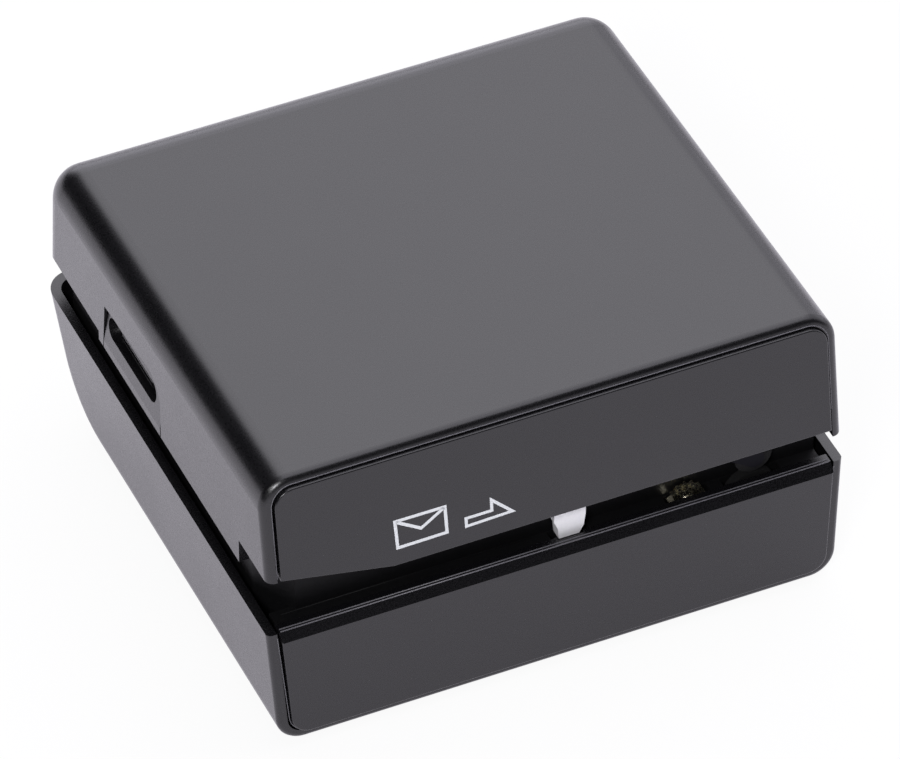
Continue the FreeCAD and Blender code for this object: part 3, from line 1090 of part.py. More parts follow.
def make_upper_guide():
    """Comb under the hood that holds the mail down, open round lever, cutter and roller."""
    low, high, spine = "rim_height + guide_low", "rim_height + guide_high", "rim_height + guide_spine"
    side = "(%s - 2 * wall)" % HOOD_HALF
    comb = prism("guide_comb", "XZ_Plane", GUIDE_FRONT, GUIDE_BACK, (
        ("-" + side, high),
        ("-" + side, spine),
        ("-%s + 18" % side, low),
        ("lever_x - 9.2", low),
        ("lever_x - 9.2", spine),
        ("lever_x + 12.8", spine),
        ("lever_x + 12.8", low),
        (ARM_X + " - 5", low),
        (ARM_X + " - 5", spine),
        (ARM_X + " - 3", spine),
        (ARM_X + " - 3", ARM_Z + " - 2.3"),
        (ARM_X + " + 3", ARM_Z + " - 2.3"),
        (ARM_X + " + 3", spine),
        ("feed_x + 7", spine),
        ("feed_x + 7", low),
        (side, low),
        (side, high),
    ))
    arm_bed = box("guide_bed", ARM_X + " - 4", "feed_x + 7", GUIDE_FRONT + " - 1", ARM_BACK + " + 0.2",
                  low + " - 1", ARM_Z + " + 4.2")
    holes = [arm_bed, rod("guide_arm_bore", "press_pin_radius + fit_gap", ARM_X, GUIDE_FRONT + " - 1",
                          GUIDE_BACK + " + 1", ARM_Z)]
    screws = []
    z = GUIDE_SCREW_Z
    for name, x in GUIDE_SCREWS:
        holes.append(rod("guide_bore_" + name, "press_pin_radius + fit_gap", x, GUIDE_FRONT + " - 1",
                         GUIDE_BACK + " + 1", z))
        head = rod("guide_head_" + name, "1.9 * press_pin_radius", x, GUIDE_BACK, GUIDE_BACK + " + 0.6", z)
        shank = rod("guide_shank_" + name, "press_pin_radius", x, GUIDE_FRONT + " - 1.6", GUIDE_BACK, z)
        screws.append(fuse("guide_screw_" + name, [head, shank]))
    node(cut("guide_cut", comb, holes), "upper_guide")
    node(group("guide_screw_group", screws), "guide_screws")


# ---------------------------------------------------------------- push latch

def make_latch():
    """Side button that rocks on a pin inside the hood's left wall."""
    side = HOOD_LEFT
    low = HOOD_LOW
    plate = prism("latch_plate", "YZ_Plane", side, side + " + latch_thick", latch_outline("latch_gap", low))
    round_latch_corner(plate, "latch_gap")
    top = "(%s + latch_rise)" % HOOD_LOW
    wedge = prism("latch_wedge", "XZ_Plane", "latch_front_y - 1", "latch_back_y + 1", (
        (side + " - 1", low + " - 1"),
        (side, low + " + 2"),
        (side + " + latch_tilt", top),
        (side + " - 1", top + " + 1"),
    ))
    middle_y = "(latch_front_y + latch_back_y) / 2 + 0.5"
    z = HOOD_LOW + " + grip_rise"
    reach = "(grip_length - grip_height) / 2"
    floor_x = side + " + latch_tilt / 2 + grip_depth"
    grip = [box("grip_middle", side + " - 1", floor_x, middle_y + " - " + reach, middle_y + " + " + reach,
                z + " - grip_height / 2", z + " + grip_height / 2")]
    for i, sign in enumerate(("-", "+")):
        end = doc.addObject("Part::Cylinder", "grip_end_%d" % i)
        end.setExpression("Radius", bound("grip_height / 2"))
        end.setExpression("Height", bound("(%s) - (%s - 1)" % (floor_x, side)))
        end.Placement = FreeCAD.Placement(FreeCAD.Vector(), FreeCAD.Rotation(FreeCAD.Vector(0, 1, 0), 90))
        for axis, place in (("x", side + " - 1"), ("y", middle_y + " " + sign + " " + reach), ("z", z)):
            end.setExpression("Placement.Base." + axis, bound(place))
        grip.append(end)
    spans = (("front", "latch_front_y + latch_gap", "latch_front_y + 10.5"),
             ("back", "latch_back_y - 10.5", "latch_back_y - latch_gap"))
    spring_room = box("latch_spring_room", side + " + latch_thick - 0.8", side + " + latch_thick + 1",
                      "(latch_front_y + latch_back_y) / 2 - 2.4", "(latch_front_y + latch_back_y) / 2 + 2.4",
                      LATCH_Z + " - 1.3 * latch_barrel", LATCH_Z + " + 2 * latch_barrel")
    parts, holes = [], [wedge, spring_room] + grip
    for name, y0, y1 in spans:
        parts.append(rod("latch_barrel_" + name, "latch_barrel", LATCH_X, y0, y1, LATCH_Z))
        parts.append(box("latch_web_" + name, side + " + latch_thick - 0.2", LATCH_X,
                         y0 + " + 2", y1 + " - 2", LATCH_Z + " - 3.5", LATCH_Z + " - 1.3 * latch_pin_radius"))
    for name, y0, y1 in (("front", "latch_front_y + 1.5", "latch_front_y + 5.5"),
                         ("back", "latch_back_y - 6.5", "latch_back_y - 2.5")):
        parts.append(box("latch_hook_" + name, side + " + latch_thick / 2", side + " + latch_thick", y0, y1,
                         low + " - 2.8", low + " + 0.5"))
    body = cut("latch_body", plate, holes)
    bore = rod("latch_hole", "latch_pin_radius + 2 * fit_gap", LATCH_X, "latch_front_y - 1", "latch_back_y + 1",
               LATCH_Z)
    ridges = []
    for i in (-1, 0, 1):
        ridges.append(box("grip_ridge_%d" % (i + 1), floor_x + " - 0.7", floor_x + " + 0.1",
                          middle_y + " - 0.8 * " + reach, middle_y + " + 0.8 * " + reach,
                          z + " - 0.25 + (%d) * grip_height / 4" % i, z + " + 0.25 + (%d) * grip_height / 4" % i))
    node(fuse("latch_fuse", [body, cut("latch_frame", fuse("latch_works", parts), [bore])] + ridges),
         "push_latch")
    node(rod("latch_pin_rod", "latch_pin_radius", LATCH_X, "latch_front_y - 3.4", "latch_back_y + 3", LATCH_Z),
         "latch_pin")
    turns = [ring("latch_turn_%d" % i, "1.3 * latch_pin_radius", "0.2", LATCH_X,
                  "(latch_front_y + latch_back_y) / 2 + %.2f" % (0.8 * (i - 2)), LATCH_Z) for i in range(5)]
    node(group("latch_turns", turns), "latch_spring")


# ---------------------------------------------------------------- batteries and covers

TRAY_FRONT = "(tray_back - 2 * tray_wall - 2 * contact_room - cell_length)"
CELL_Z = "(%s + tray_wall + 0.1 + cell_radius)" % DECK_TOP


def cell_x(i):
    return "(tray_left + tray_wall + cell_gap + cell_radius + %d * %s)" % (i, CELL_PITCH)


def make_batteries():
    """Open tray with its cells side by side, end contacts and springs."""
    count = int(round(size("cell_count")))
    outer = prism("tray_outer", "XY_Plane", DECK_TOP, DECK_TOP + " + tray_height", (
        ("tray_left", TRAY_FRONT),
        (TRAY_RIGHT, TRAY_FRONT),
        (TRAY_RIGHT, "tray_back"),
        ("tray_left", "tray_back"),
    ))
    half_height = size(DECK_TOP + " + tray_height / 2")
    round_edges(outer, "tray_corners", "2.5 * tray_wall", lambda e: abs(middle(e).z - half_height) < 0.01)
    room = box("tray_room", "tray_left + tray_wall", TRAY_RIGHT + " - tray_wall", TRAY_FRONT + " + tray_wall",
               "tray_back - tray_wall", DECK_TOP + " + tray_wall", DECK_TOP + " + tray_height + 1")
    scoops = [box("tray_scoop_%d" % i, cell_x(i) + " - 3", cell_x(i) + " + 3", TRAY_FRONT + " - 1",
                  TRAY_FRONT + " + tray_wall + 1", DECK_TOP + " + 0.7 * tray_height",
                  DECK_TOP + " + tray_height + 1") for i in range(count)]
    node(cut("tray_cut", outer, [room] + scoops), "battery_tray")
    front_end = TRAY_FRONT + " + tray_wall + contact_room"
    back_end = "tray_back - tray_wall - contact_room"
    contacts, turns = [], []
    for i in range(count):
        x = cell_x(i)
        if i % 2 == 0:
            spans = (front_end + " + 1", back_end, front_end, front_end + " + 1")
        else:
            spans = (front_end, back_end + " - 1", back_end + " - 1", back_end)
        can = rod("cell_can_%d" % i, "cell_radius", x, spans[0], spans[1], CELL_Z)
        nub = rod("cell_nub_%d" % i, "cell_radius / 2.6", x, spans[2], spans[3], CELL_Z)
        node(fuse("cell_%d" % i, [can, nub]), "battery_cell_%d" % (i + 1))
        ends = ((TRAY_FRONT + " + tray_wall", TRAY_FRONT + " + tray_wall + contact_thick"),
                ("tray_back - tray_wall - contact_thick", "tray_back - tray_wall"))
        for j, (y0, y1) in enumerate(ends):
            contacts.append(box("contact_%d_%d" % (i, j), x + " - 5", x + " + 5", y0, y1, CELL_Z + " - 5",
                                CELL_Z + " + 5"))
        y = back_end + " + 0.9" if i % 2 == 0 else front_end + " - 0.9"
        turns.append(ring("contact_turn_%d_0" % i, "3.6", "0.25", x, y, CELL_Z))
        y = back_end + " + 0.35" if i % 2 == 0 else front_end + " - 0.35"
        turns.append(ring("contact_turn_%d_1" % i, "2.6", "0.25", x, y, CELL_Z))
    node(group("contact_group", contacts), "battery_contacts")
    node(group("contact_turns", turns), "battery_springs")


def make_covers():
    """Inner cover over the neck, with the gear dome and the battery opening under its lid."""
    plate = neck_prism("cover_plate", "cover_inset", NECK_TOP, NECK_TOP + " + cover_thick")
    top = NECK_TOP + " + cover_thick"
    dome_top = top + " + dome_rise"
    front = GUIDE_Y + " + 0.1"
    domes, rooms = [], []
    for name, left, back in (
            ("switch", "dome_left", front + " + dome_depth"),
            ("motor", MOTOR_X + " - motor_radius - dome_clear", MOTOR_BACK + " + motor_cap + dome_clear")):
        domes.append(box("dome_" + name, left, "dome_right", front, back, NECK_TOP, dome_top))
        rooms.append(box("dome_room_" + name, left + " + cover_thick", "dome_right - cover_thick",
                         front + " + cover_thick", back + " - cover_thick", NECK_TOP + " - 1",
                         dome_top + " - cover_thick"))
    x0, x1 = "(tray_left + lid_lap + 0.2)", "(%s - lid_lap - 0.2)" % TRAY_RIGHT
    y0, y1 = "(%s + lid_lap)" % TRAY_FRONT, "(tray_back - lid_lap)"
    holes = rooms + [box("battery_way", x0, x1, y0, y1, NECK_TOP + " - 1", top + " + 1")]
    for i, sign in enumerate(("-", "")):
        y = "(%shinge_y)" % sign
        holes.append(box("cover_lug_way_%d" % i, "hinge_x - 1.2 - 2 * hinge_gap", NECK_HALF + " + 1",
                         y + " - lug_length / 2 - hinge_gap", y + " + lug_length / 2 + hinge_gap",
                         NECK_TOP + " - 1", top + " + 1"))
    for name, x, y in COVER_SCREWS:
        holes.append(post("cover_way_" + name, "screw_radius + fit_gap", x, y, NECK_TOP + " - 1", top + " + 1"))
    blank = fuse("cover_blank", [plate] + domes)
    node(cut("cover_cut", blank, holes), "inner_cover")
    lid = box("lid_plate", x0 + " - lid_lap", x1 + " + lid_lap", y0 + " - lid_lap", y1 + " + lid_lap", top,
              top + " + lid_thick")
    ribs = [box("lid_rib_%d" % i, x1 + " - %.1f" % (4 + 2.4 * i), x1 + " - %.1f" % (3 + 2.4 * i),
                y0 + " + 16", y1 + " - 16", top + " + lid_thick / 2", top + " + lid_thick + 0.6")
            for i in range(4)]
    node(fuse("lid_fuse", [lid] + ribs), "battery_lid")


# ---------------------------------------------------------------- assembly and files

make_base_shell()
make_base_front_plate()
make_chassis()
make_fasteners()
make_bearings()
make_drive()
make_start()
make_hood_shell()
make_hood_front_plate()
make_upper_guide()
make_press()
make_latch()
make_batteries()
make_covers()
doc.recompute()

for obj in doc.Objects:
    if "Invalid" in obj.State or "Error" in obj.State:
        raise RuntimeError("did not compute: " + obj.Name)
for obj in SUBPARTS:
    if obj.Shape.isNull() or not obj.Shape.isValid():
        raise RuntimeError("bad shape: " + obj.Label)

os.makedirs("parts", exist_ok=True)
for obj in SUBPARTS:
    obj.Shape.exportStep("parts/%s.step" % obj.Label)
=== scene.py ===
import bpy
import math
from mathutils import Matrix, Vector


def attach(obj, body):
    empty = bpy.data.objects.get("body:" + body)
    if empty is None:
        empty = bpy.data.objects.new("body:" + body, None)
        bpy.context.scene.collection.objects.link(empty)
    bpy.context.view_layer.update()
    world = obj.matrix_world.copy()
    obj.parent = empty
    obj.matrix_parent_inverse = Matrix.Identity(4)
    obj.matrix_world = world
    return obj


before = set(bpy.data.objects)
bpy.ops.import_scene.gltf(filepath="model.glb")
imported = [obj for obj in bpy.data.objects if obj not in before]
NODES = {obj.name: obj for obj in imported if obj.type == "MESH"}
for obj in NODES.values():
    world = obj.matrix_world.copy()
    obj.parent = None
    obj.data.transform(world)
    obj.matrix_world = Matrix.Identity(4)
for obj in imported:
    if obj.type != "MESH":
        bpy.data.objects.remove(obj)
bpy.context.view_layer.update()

MM = 0.001
WHITE = (1, 1, 1)


# ---------------------------------------------------------------- camera

# The camera was fitted to the casing's edges in the photo. Angles are in degrees, lengths in metres.
VIEW_AZIMUTH = -24.37
VIEW_ELEVATION = 42.34
VIEW_ROLL = 0.11
VIEW_DISTANCE = 1.8369
VIEW_TARGET = (-0.00062, -0.00637, 0.03367)
PHOTO_WIDTH = 900.0
FOCAL_PIXELS = 8803.8
SENSOR_WIDTH = 36.0
CLIP_NEAR = 0.05
CLIP_FAR = 20.0


def make_camera():
    """Long lens from the front left, looking down on the machine."""
    azimuth = math.radians(VIEW_AZIMUTH)
    elevation = math.radians(VIEW_ELEVATION)
    roll = math.radians(VIEW_ROLL)
    back = Vector((
        math.sin(azimuth) * math.cos(elevation),
        -math.cos(azimuth) * math.cos(elevation),
        math.sin(elevation),
    ))
    side = Vector((0, 0, 1)).cross(back).normalized()
    up = back.cross(side)
    across = math.cos(roll) * side + math.sin(roll) * up
    upward = -math.sin(roll) * side + math.cos(roll) * up
    place = Vector(VIEW_TARGET) + back * VIEW_DISTANCE
    camera = bpy.data.objects.new("camera", bpy.data.cameras.new("camera"))
    camera.data.sensor_fit = "HORIZONTAL"
    camera.data.sensor_width = SENSOR_WIDTH
    camera.data.lens = FOCAL_PIXELS * SENSOR_WIDTH / PHOTO_WIDTH
    camera.data.clip_start = CLIP_NEAR
    camera.data.clip_end = CLIP_FAR
    camera.matrix_world = Matrix((
        (across.x, upward.x, back.x, place.x),
        (across.y, upward.y, back.y, place.y),
        (across.z, upward.z, back.z, place.z),
        (0, 0, 0, 1),
    ))
    bpy.context.scene.collection.objects.link(camera)
    bpy.context.scene.camera = camera


# ---------------------------------------------------------------- shader helpers

# Places of a Mix node's sockets, several of which share a name.
FLOAT_A = 2
FLOAT_B = 3
COLOUR_A = 6
COLOUR_B = 7
COLOUR_RESULT = 2


def calculate(tree, operation, *terms):
    """Output of a maths node, whose terms are numbers or the outputs of other nodes."""
    node = tree.nodes.new("ShaderNodeMath")
    node.operation = operation
    for socket, term in zip(node.inputs, terms):
        if isinstance(term, bpy.types.NodeSocket):
            tree.links.new(term, socket)
        else:
            socket.default_value = term
    return node.outputs[0]


def mix_to_surface(tree, output, factor, first, second):
    """The output's surface shows first where factor is 0, and second where it is 1."""
    mix = tree.nodes.new("ShaderNodeMixShader")
    tree.links.new(factor, mix.inputs["Fac"])
    tree.links.new(first.outputs[0], mix.inputs[1])
    tree.links.new(second.outputs[0], mix.inputs[2])
    tree.links.new(mix.outputs[0], output.inputs["Surface"])


# ---------------------------------------------------------------- world

SKY = (0.925, 0.905, 1.0)
TENT_STRENGTH = 2.00

# Smooth steps of brightness along an axis of the direction: axis, from, to, level before, level after.
# The tent covers the back and right half of the sky, and is open to the left and the front.
TENT = (
    ("X", -0.28, -0.02, 0.0, 1.0),
    ("Y", -0.38, -0.22, 0.0, 1.0),
    ("Z", -0.05, 0.15, 0.0, 1.0),
    ("Z", 0.20, 0.55, 1.35, 1.0),
    ("Y", 0.25, 0.62, 1.35, 1.0),
    ("X", 0.35, 0.70, 1.0, 0.55),
)
# The strip is low and dim in front, as from the far end of the table.
STRIP = (
    ("Y", -0.78, -0.58, 0.8, 0.0),
    ("Z", 0.12, 0.40, 1.0, 0.0),
)


def sky_level(tree, direction, steps):
    """Product of the steps, as the brightness of one part of the sky."""
    level = None
    for axis, low, high, before, after in steps:
        step = tree.nodes.new("ShaderNodeMapRange")
        step.interpolation_type = "SMOOTHSTEP"
        step.inputs["From Min"].default_value = low
        step.inputs["From Max"].default_value = high
        step.inputs["To Min"].default_value = before
        step.inputs["To Max"].default_value = after
        tree.links.new(direction.outputs[axis], step.inputs["Value"])
        result = step.outputs["Result"]
        level = result if level is None else calculate(tree, "MULTIPLY", level, result)
    return level


def make_world():
    """White where the camera sees it, and a shaped sky for light and reflections."""
    world = bpy.data.worlds.new("studio")
    bpy.context.scene.world = world
    world.use_nodes = True
    tree = world.node_tree
    tree.nodes.clear()
    output = tree.nodes.new("ShaderNodeOutputWorld")
    seen = tree.nodes.new("ShaderNodeBackground")
    seen.inputs["Color"].default_value = (*WHITE, 1)
    seen.inputs["Strength"].default_value = 1.0
    light = tree.nodes.new("ShaderNodeBackground")
    light.inputs["Color"].default_value = (*SKY, 1)
    place = tree.nodes.new("ShaderNodeTexCoord")
    direction = tree.nodes.new("ShaderNodeSeparateXYZ")
    tree.links.new(place.outputs["Generated"], direction.inputs[0])
    tent = sky_level(tree, direction, TENT)
    strip = sky_level(tree, direction, STRIP)
    level = calculate(tree, "MULTIPLY_ADD", tent, TENT_STRENGTH, strip)
    tree.links.new(level, light.inputs["Strength"])
    path = tree.nodes.new("ShaderNodeLightPath")
    mix_to_surface(tree, output, path.outputs["Is Camera Ray"], light, seen)


# ---------------------------------------------------------------- floor

FLOOR_REACH = 3.0
PAPER = (0.8, 0.8, 0.8)
GLOW = 1.0
BOUNCE = (0.935, 0.89, 1.0)
BOUNCE_BOOST = 0.72
CAMERA_SHARE = 0.92
GLOSSY_SHARE = 0.45


def floor_material():
    """White paper that keeps shadows, with a share of glow for the camera and for reflections."""
    material = bpy.data.materials.new("floor_paper")
    material.use_nodes = True
    tree = material.node_tree
    tree.nodes.clear()
    output = tree.nodes.new("ShaderNodeOutputMaterial")
    paper = tree.nodes.new("ShaderNodeBsdfDiffuse")
    paper.inputs["Color"].default_value = (*PAPER, 1)
    glow = tree.nodes.new("ShaderNodeEmission")
    path = tree.nodes.new("ShaderNodeLightPath")
    from_camera = path.outputs["Is Camera Ray"]
    from_gloss = path.outputs["Is Glossy Ray"]
    bright = calculate(tree, "MULTIPLY_ADD", from_gloss, BOUNCE_BOOST, GLOW)
    tree.links.new(bright, glow.inputs["Strength"])
    tone = tree.nodes.new("ShaderNodeMix")
    tone.data_type = "RGBA"
    tone.inputs[COLOUR_A].default_value = (*WHITE, 1)
    tone.inputs[COLOUR_B].default_value = (*BOUNCE, 1)
    tree.links.new(from_gloss, tone.inputs["Factor"])
    tree.links.new(tone.outputs[COLOUR_RESULT], glow.inputs["Color"])
    camera_share = calculate(tree, "MULTIPLY", from_camera, CAMERA_SHARE)
    glossy_share = calculate(tree, "MULTIPLY", from_gloss, GLOSSY_SHARE)
    share = calculate(tree, "MAXIMUM", camera_share, glossy_share)
    mix_to_surface(tree, output, share, paper, glow)
    return material


def make_floor():
    """One large flat square under the machine."""
    corners = ((-1, -1), (1, -1), (1, 1), (-1, 1))
    mesh = bpy.data.meshes.new("floor")
    mesh.from_pydata([(x * FLOOR_REACH, y * FLOOR_REACH, 0) for x, y in corners], [], [(0, 1, 2, 3)])
    floor = bpy.data.objects.new("floor", mesh)
    bpy.context.scene.collection.objects.link(floor)
    mesh.materials.append(floor_material())


# ---------------------------------------------------------------- lamps

# Name, place, point aimed at, width and height in metres, watts, colour.
LAMPS = (
    ("key_top_back", (0.35, 0.95, 1.15), (0, 0, 0.04), (1.3, 1.0), 3.0, WHITE),
    ("corner_left", (-1.15, -0.5, 1.2), (-0.06, -0.06, 0.06), (0.5, 0.3), 3.5, WHITE),
    ("front_high", (-1.00, -1.30, 1.55), (0, 0, 0.04), (0.45, 0.45), 31.0, (0.97, 0.96, 1.0)),
)


def make_lamps():
    for name, place, aim, (width, height), watts, colour in LAMPS:
        data = bpy.data.lights.new(name, "AREA")
        data.shape = "RECTANGLE"
        data.size = width
        data.size_y = height
        data.energy = watts
        data.color = colour
        lamp = bpy.data.objects.new(name, data)
        lamp.location = place
        lamp.rotation_euler = (Vector(aim) - Vector(place)).to_track_quat("-Z", "Y").to_euler()
        bpy.context.scene.collection.objects.link(lamp)


# ---------------------------------------------------------------- materials

FINE_DETAIL = 3.0
FINE_ROUGHNESS = 0.6
SLOW_SCALE = 60.0
SLOW_DETAIL = 4.0
SLOW_SHARE = 0.2
# Most of the noise lies between these two levels.
NOISE_LOW = 0.35
NOISE_HIGH = 0.65
GLOSSIEST = 0.02


def surface(name, colour, rough, grain, bump, bump_mm, tint=0.08, rough_swing=0.06, metal=0.0,
            specular=0.5, streak=(1, 1, 1)):
    """A surface with fine grain, slow colour drift and uneven gloss."""
    material = bpy.data.materials.new(name)
    material.use_nodes = True
    nodes, links = material.node_tree.nodes, material.node_tree.links
    shader = nodes["Principled BSDF"]
    shader.inputs["Metallic"].default_value = metal
    shader.inputs["Specular IOR Level"].default_value = specular
    place = nodes.new("ShaderNodeTexCoord")
    stretch = nodes.new("ShaderNodeMapping")
    stretch.inputs["Scale"].default_value = streak
    links.new(place.outputs["Object"], stretch.inputs["Vector"])

    fine = nodes.new("ShaderNodeTexNoise")
    fine.inputs["Scale"].default_value = grain
    fine.inputs["Detail"].default_value = FINE_DETAIL
    fine.inputs["Roughness"].default_value = FINE_ROUGHNESS
    links.new(stretch.outputs["Vector"], fine.inputs["Vector"])
    slow = nodes.new("ShaderNodeTexNoise")
    slow.inputs["Scale"].default_value = SLOW_SCALE
    slow.inputs["Detail"].default_value = SLOW_DETAIL
    links.new(place.outputs["Object"], slow.inputs["Vector"])

    blend = nodes.new("ShaderNodeMix")
    blend.data_type = "FLOAT"
    blend.inputs["Factor"].default_value = SLOW_SHARE
    links.new(fine.outputs["Fac"], blend.inputs[FLOAT_A])
    links.new(slow.outputs["Fac"], blend.inputs[FLOAT_B])

    ramp = nodes.new("ShaderNodeValToRGB")
    low, high = ramp.color_ramp.elements
    low.position = NOISE_LOW
    high.position = NOISE_HIGH
    low.color = (*[c * (1 - tint) for c in colour], 1)
    high.color = (*[min(1.0, c * (1 + tint)) for c in colour], 1)
    links.new(blend.outputs[0], ramp.inputs["Fac"])
    links.new(ramp.outputs["Color"], shader.inputs["Base Color"])

    gloss = nodes.new("ShaderNodeMapRange")
    gloss.inputs["From Min"].default_value = NOISE_LOW
    gloss.inputs["From Max"].default_value = NOISE_HIGH
    gloss.inputs["To Min"].default_value = max(GLOSSIEST, rough - rough_swing)
    gloss.inputs["To Max"].default_value = min(1.0, rough + rough_swing)
    links.new(blend.outputs[0], gloss.inputs["Value"])
    links.new(gloss.outputs["Result"], shader.inputs["Roughness"])

    relief = nodes.new("ShaderNodeBump")
    relief.inputs["Strength"].default_value = bump
    relief.inputs["Distance"].default_value = bump_mm * MM
    links.new(fine.outputs["Fac"], relief.inputs["Height"])
    links.new(relief.outputs["Normal"], shader.inputs["Normal"])
    return material


def make_materials():
    """Name, colour, roughness, grain per metre, then bump strength and its height in millimetres."""
    return {
        "shell": surface("satin_black", (0.0038, 0.0037, 0.0043), 0.29, 2600, 0.22, 0.04,
                         tint=0.15, rough_swing=0.04),
        # Painted highlight: a light grey for the moulded beads, standing in for the light their edges
        # catch.
        "edge": surface("edge_black", (0.095, 0.093, 0.102), 0.40, 2600, 0.05, 0.02, tint=0.12),
        "plate": surface("plate_black", (0.0036, 0.0035, 0.0042), 0.28, 2600, 0.15, 0.03,
                         tint=0.12, rough_swing=0.04),
        "chassis": surface("matte_black", (0.0025, 0.0025, 0.0028), 0.55, 1800, 0.3, 0.05,
                           tint=0.15, specular=0.25),
        "cover": surface("cover_grey", (0.05, 0.05, 0.055), 0.45, 2200, 0.3, 0.05),
        "latch": surface("latch_black", (0.0038, 0.0037, 0.0043), 0.30, 2600, 0.3, 0.04, tint=0.12),
        "white": surface("lever_white", (0.86, 0.86, 0.87), 0.33, 1500, 0.12, 0.03, tint=0.02),
        "rubber": surface("rubber_black", (0.006, 0.006, 0.006), 0.75, 3000, 0.5, 0.08, specular=0.2),
        "steel": surface("zinc_steel", (0.60, 0.60, 0.62), 0.32, 2500, 0.2, 0.02,
                         metal=1.0, streak=(1, 0.15, 1)),
        "shaft": surface("ground_steel", (0.66, 0.66, 0.68), 0.22, 3000, 0.15, 0.01,
                         metal=1.0, streak=(1, 8, 1)),
        "blued": surface("blued_steel", (0.008, 0.008, 0.010), 0.50, 2500, 0.2, 0.02, metal=1.0),
        "gold": surface("coated_cutter", (0.97, 0.88, 0.66), 0.26, 2500, 0.3, 0.03,
                        tint=0.10, rough_swing=0.12, metal=1.0),
        "brass": surface("sintered_brass", (0.72, 0.54, 0.26), 0.38, 2500, 0.3, 0.03, metal=1.0),
        "acetal": surface("acetal_white", (0.80, 0.79, 0.74), 0.42, 900, 0.15, 0.04, tint=0.03),
        "red": surface("switch_red", (0.16, 0.03, 0.03), 0.45, 1200, 0.2, 0.04),
        "cell": surface("cell_sleeve", (0.16, 0.17, 0.20), 0.28, 900, 0.08, 0.03),
        "laminate": surface("laminate", (0.33, 0.28, 0.25), 0.5, 1500, 0.4, 0.05,
                            metal=1.0, streak=(1, 12, 1)),
        "print": surface("icon_white", (0.65, 0.67, 0.68), 0.5, 2500, 0.15, 0.02, tint=0.03),
    }


# The nodes that each material covers.
FINISH = {
    "shell": "base_shell hood_shell",
    "plate": "base_front_plate hood_front_plate",
    "chassis": "chassis battery_tray motor_cradle upper_guide",
    "cover": "inner_cover battery_lid",
    "latch": "push_latch",
    "white": "start_lever",
    "rubber": "rubber_feet feed_tyre press_roller",
    "steel": "case_screws cover_screws motor_screws guide_screws battery_contacts battery_springs "
             "lever_spring latch_spring motor_can bearing_plate",
    "shaft": "motor_shaft cutter_shaft feed_shaft idler_axle lever_pin press_arm_pin latch_pin hinge_pins",
    "blued": "press_arm press_roller_pin",
    "gold": "cutter_wheel",
    "brass": "bearing_bushes motor_pinion",
    "acetal": "cutter_gear idler_gear feed_gear feed_hub lever_cam switch_plunger motor_end_cap",
    "red": "switch_body",
    "cell": "battery_cell_1 battery_cell_2 battery_cell_3 battery_cell_4",
    "laminate": "motor_armature",
}


def dress(materials):
    """Every slot of a node gets that node's material."""
    for finish, names in FINISH.items():
        for name in names.split():
            piece = NODES[name]
            if not piece.material_slots:
                piece.data.materials.append(materials[finish])
            for slot in piece.material_slots:
                slot.material = materials[finish]


def add_piece(name, verts, faces, material, body, smooth=False):
    """A new mesh piece that rides on a body of the machine."""
    mesh = bpy.data.meshes.new(name)
    mesh.from_pydata([tuple(v) for v in verts], [], faces)
    for face in mesh.polygons:
        face.use_smooth = smooth
    piece = bpy.data.objects.new(name, mesh)
    bpy.context.scene.collection.objects.link(piece)
    mesh.materials.append(material)
    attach(piece, body)


# ---------------------------------------------------------------- printed signs

# Lengths from here on are in millimetres. The hood's front plate leans back from its foot.
PLATE_FOOT_Y = -60.25
PLATE_FOOT_Z = 38.2
PLATE_LEAN = 4.75 / 30.1
PRINT_LIFT = 0.03
SHARPEST_MITRE = 0.4

# Points across and up on the plate.
ENVELOPE = ((-36.30, 51.15), (-25.20, 51.12), (-25.14, 44.84), (-36.10, 44.71))
ENVELOPE_FLAP = ((-36.05, 50.95), (-30.70, 47.75), (-25.40, 50.92))
ENVELOPE_LINE = 0.72
ARROW = ((-20.80, 46.73), (-15.04, 46.75), (-14.98, 49.30), (-10.55, 45.12), (-20.81, 44.80))
ARROW_LINE = 0.68


def on_plate(x, z):
    """A point just in front of the hood's leaning front plate, in metres."""
    y = PLATE_FOOT_Y + PLATE_LEAN * (z - PLATE_FOOT_Z) - PRINT_LIFT
    return Vector((x * MM, y * MM, z * MM))


def stroke(path, width, closed):
    """Points to the left and right of a drawn line, mitred at its bends."""
    count = len(path)
    left, right = [], []
    for i, point in enumerate(path):
        before = path[i - 1] if i or closed else None
        after = path[(i + 1) % count] if i < count - 1 or closed else None
        ways = []
        for a, b in ((before, point), (point, after)):
            if a and b:
                ways.append((Vector(b) - Vector(a)).normalized())
        along = sum(ways, Vector((0, 0))).normalized()
        normal = Vector((-along.y, along.x))
        mitre = normal.dot(Vector((-ways[0].y, ways[0].x)))
        reach = width / 2 / max(SHARPEST_MITRE, mitre)
        left.append(Vector(point) + normal * reach)
        right.append(Vector(point) - normal * reach)
    return left, right


def print_lines(name, lines, width, material):
    """One thin printed mark made of stroked lines on the front plate."""
    verts, faces = [], []
    for path, closed in lines:
        left, right = stroke(path, width, closed)
        start, count = len(verts), len(path)
        for a, b in zip(left, right):
            verts.append(on_plate(a.x, a.y))
            verts.append(on_plate(b.x, b.y))
        for i in range(count if closed else count - 1):
            j = (i + 1) % count
            faces.append((start + 2 * i, start + 2 * i + 1, start + 2 * j + 1, start + 2 * j))
    add_piece(name, verts, faces, material, "hood")


def make_signs(material):
    """Envelope sign and half arrow beside the slot, with no words."""
    print_lines("envelope_sign", ((ENVELOPE, True), (ENVELOPE_FLAP, False)), ENVELOPE_LINE, material)
    print_lines("arrow_sign", ((ARROW, True),), ARROW_LINE, material)


# ---------------------------------------------------------------- moulded edge lines, light grey as painted highlights

TUBE_SIDES = 8
CORNER_STEPS = 8
CORNER_ROUND = 4.7
RIM_RADIUS = 0.12

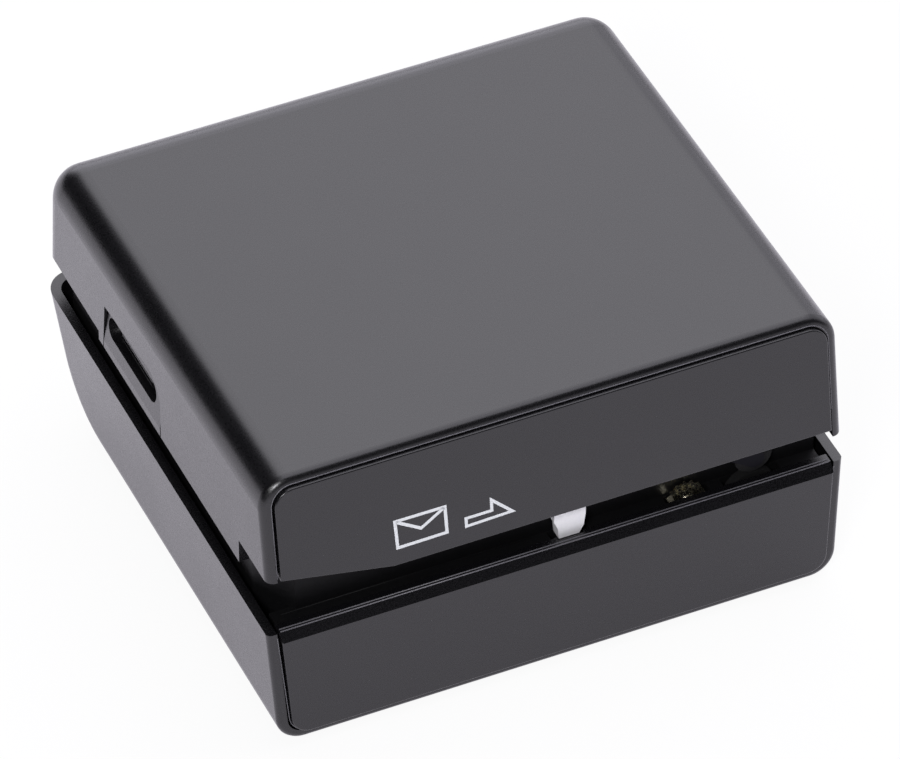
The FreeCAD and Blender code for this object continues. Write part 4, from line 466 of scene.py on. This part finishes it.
# The hood's front opening: half width, heights of its open and closed ends, depth at the plate's foot.
HOOD_HALF = 62.2
HOOD_OPEN_Z = 45.2
HOOD_TOP_Z = 66.78
HOOD_RIM_Y = -59.30

# The base's front opening: it is wider at the open end, and comes forward towards its foot.
BASE_HALF = 62.8
BASE_DRAFT = 1.8
BASE_OPEN_Z = 29.6
BASE_FOOT_Z = 3.1
BASE_RIM_Y = -59.15
BASE_LIP_Z = 28.3
BASE_LEAN = 0.0605

# Straight lines along the slot: two on the lip in light grey as painted highlights, and a dark one further
# in.
LIP_BEADS = (("lip_bead_front", -58.52, 30.66), ("lip_bead_back", -57.85, 30.70))
LIP_HALF = 61.9
LIP_RADIUS = 0.16
SLOT_LEFT = -59.3
SLOT_RIGHT = -2.5
SLOT_Y = -52.65
SLOT_Z = 29.32
SLOT_RADIUS = 0.09


def tube(name, path, radius, body, material):
    """A fine round bead along a path of points."""
    path = [Vector(point) for point in path]
    last = len(path) - 1
    verts, faces = [], []
    for i, point in enumerate(path):
        along = (path[min(i + 1, last)] - path[max(i - 1, 0)]).normalized()
        across = along.cross(Vector((0, -1, 0))).normalized()
        outward = across.cross(along)
        for k in range(TUBE_SIDES):
            turn = 2 * math.pi * k / TUBE_SIDES
            verts.append((point + radius * (math.cos(turn) * across + math.sin(turn) * outward)) * MM)
    for i in range(last):
        for k in range(TUBE_SIDES):
            a = i * TUBE_SIDES + k
            b = i * TUBE_SIDES + (k + 1) % TUBE_SIDES
            faces.append((a, b, b + TUBE_SIDES, a + TUBE_SIDES))
    faces.append(tuple(range(TUBE_SIDES))[::-1])
    faces.append(tuple(last * TUBE_SIDES + k for k in range(TUBE_SIDES)))
    add_piece(name, verts, faces, material, body, smooth=True)


def frame_path(open_half, open_z, closed_half, closed_z, face):
    """Edge of a front opening, round two corners, with face(z) giving its depth."""
    way = 1 if closed_z > open_z else -1
    points = [(-open_half, open_z)]
    for k in range(CORNER_STEPS + 1):
        turn = math.radians(90 * k / CORNER_STEPS)
        x = -closed_half + CORNER_ROUND * (1 - math.cos(turn))
        z = closed_z - way * CORNER_ROUND * (1 - math.sin(turn))
        points.append((x, z))
    points += [(-x, z) for x, z in reversed(points)]
    return [(x, face(z), z) for x, z in points]


def hood_face(z):
    return HOOD_RIM_Y + PLATE_LEAN * (z - PLATE_FOOT_Z)


def base_face(z):
    return BASE_RIM_Y - BASE_LEAN * (BASE_LIP_Z - z)


def make_edge_lines(edge, dark):
    """Beads along the edges of the front openings and of the lip, coloured light grey as painted
    highlights, and a dark line inside the slot.
    """
    hood_rim = frame_path(HOOD_HALF, HOOD_OPEN_Z, HOOD_HALF, HOOD_TOP_Z, hood_face)
    tube("hood_rim_bead", hood_rim, RIM_RADIUS, "hood", edge)
    base_rim = frame_path(BASE_HALF, BASE_OPEN_Z, BASE_HALF - BASE_DRAFT, BASE_FOOT_Z, base_face)
    tube("base_rim_bead", base_rim, RIM_RADIUS, "base", edge)
    for name, y, z in LIP_BEADS:
        tube(name, ((-LIP_HALF, y, z), (LIP_HALF, y, z)), LIP_RADIUS, "base", edge)
    slot_line = ((SLOT_LEFT, SLOT_Y, SLOT_Z), (SLOT_RIGHT, SLOT_Y, SLOT_Z))
    tube("slot_bead", slot_line, SLOT_RADIUS, "base", dark)


make_camera()
make_world()
make_floor()
make_lamps()
MATERIALS = make_materials()
dress(MATERIALS)
make_signs(MATERIALS["print"])
make_edge_lines(MATERIALS["edge"], MATERIALS["chassis"])

scene = bpy.context.scene
scene.view_settings.view_transform = "Standard"
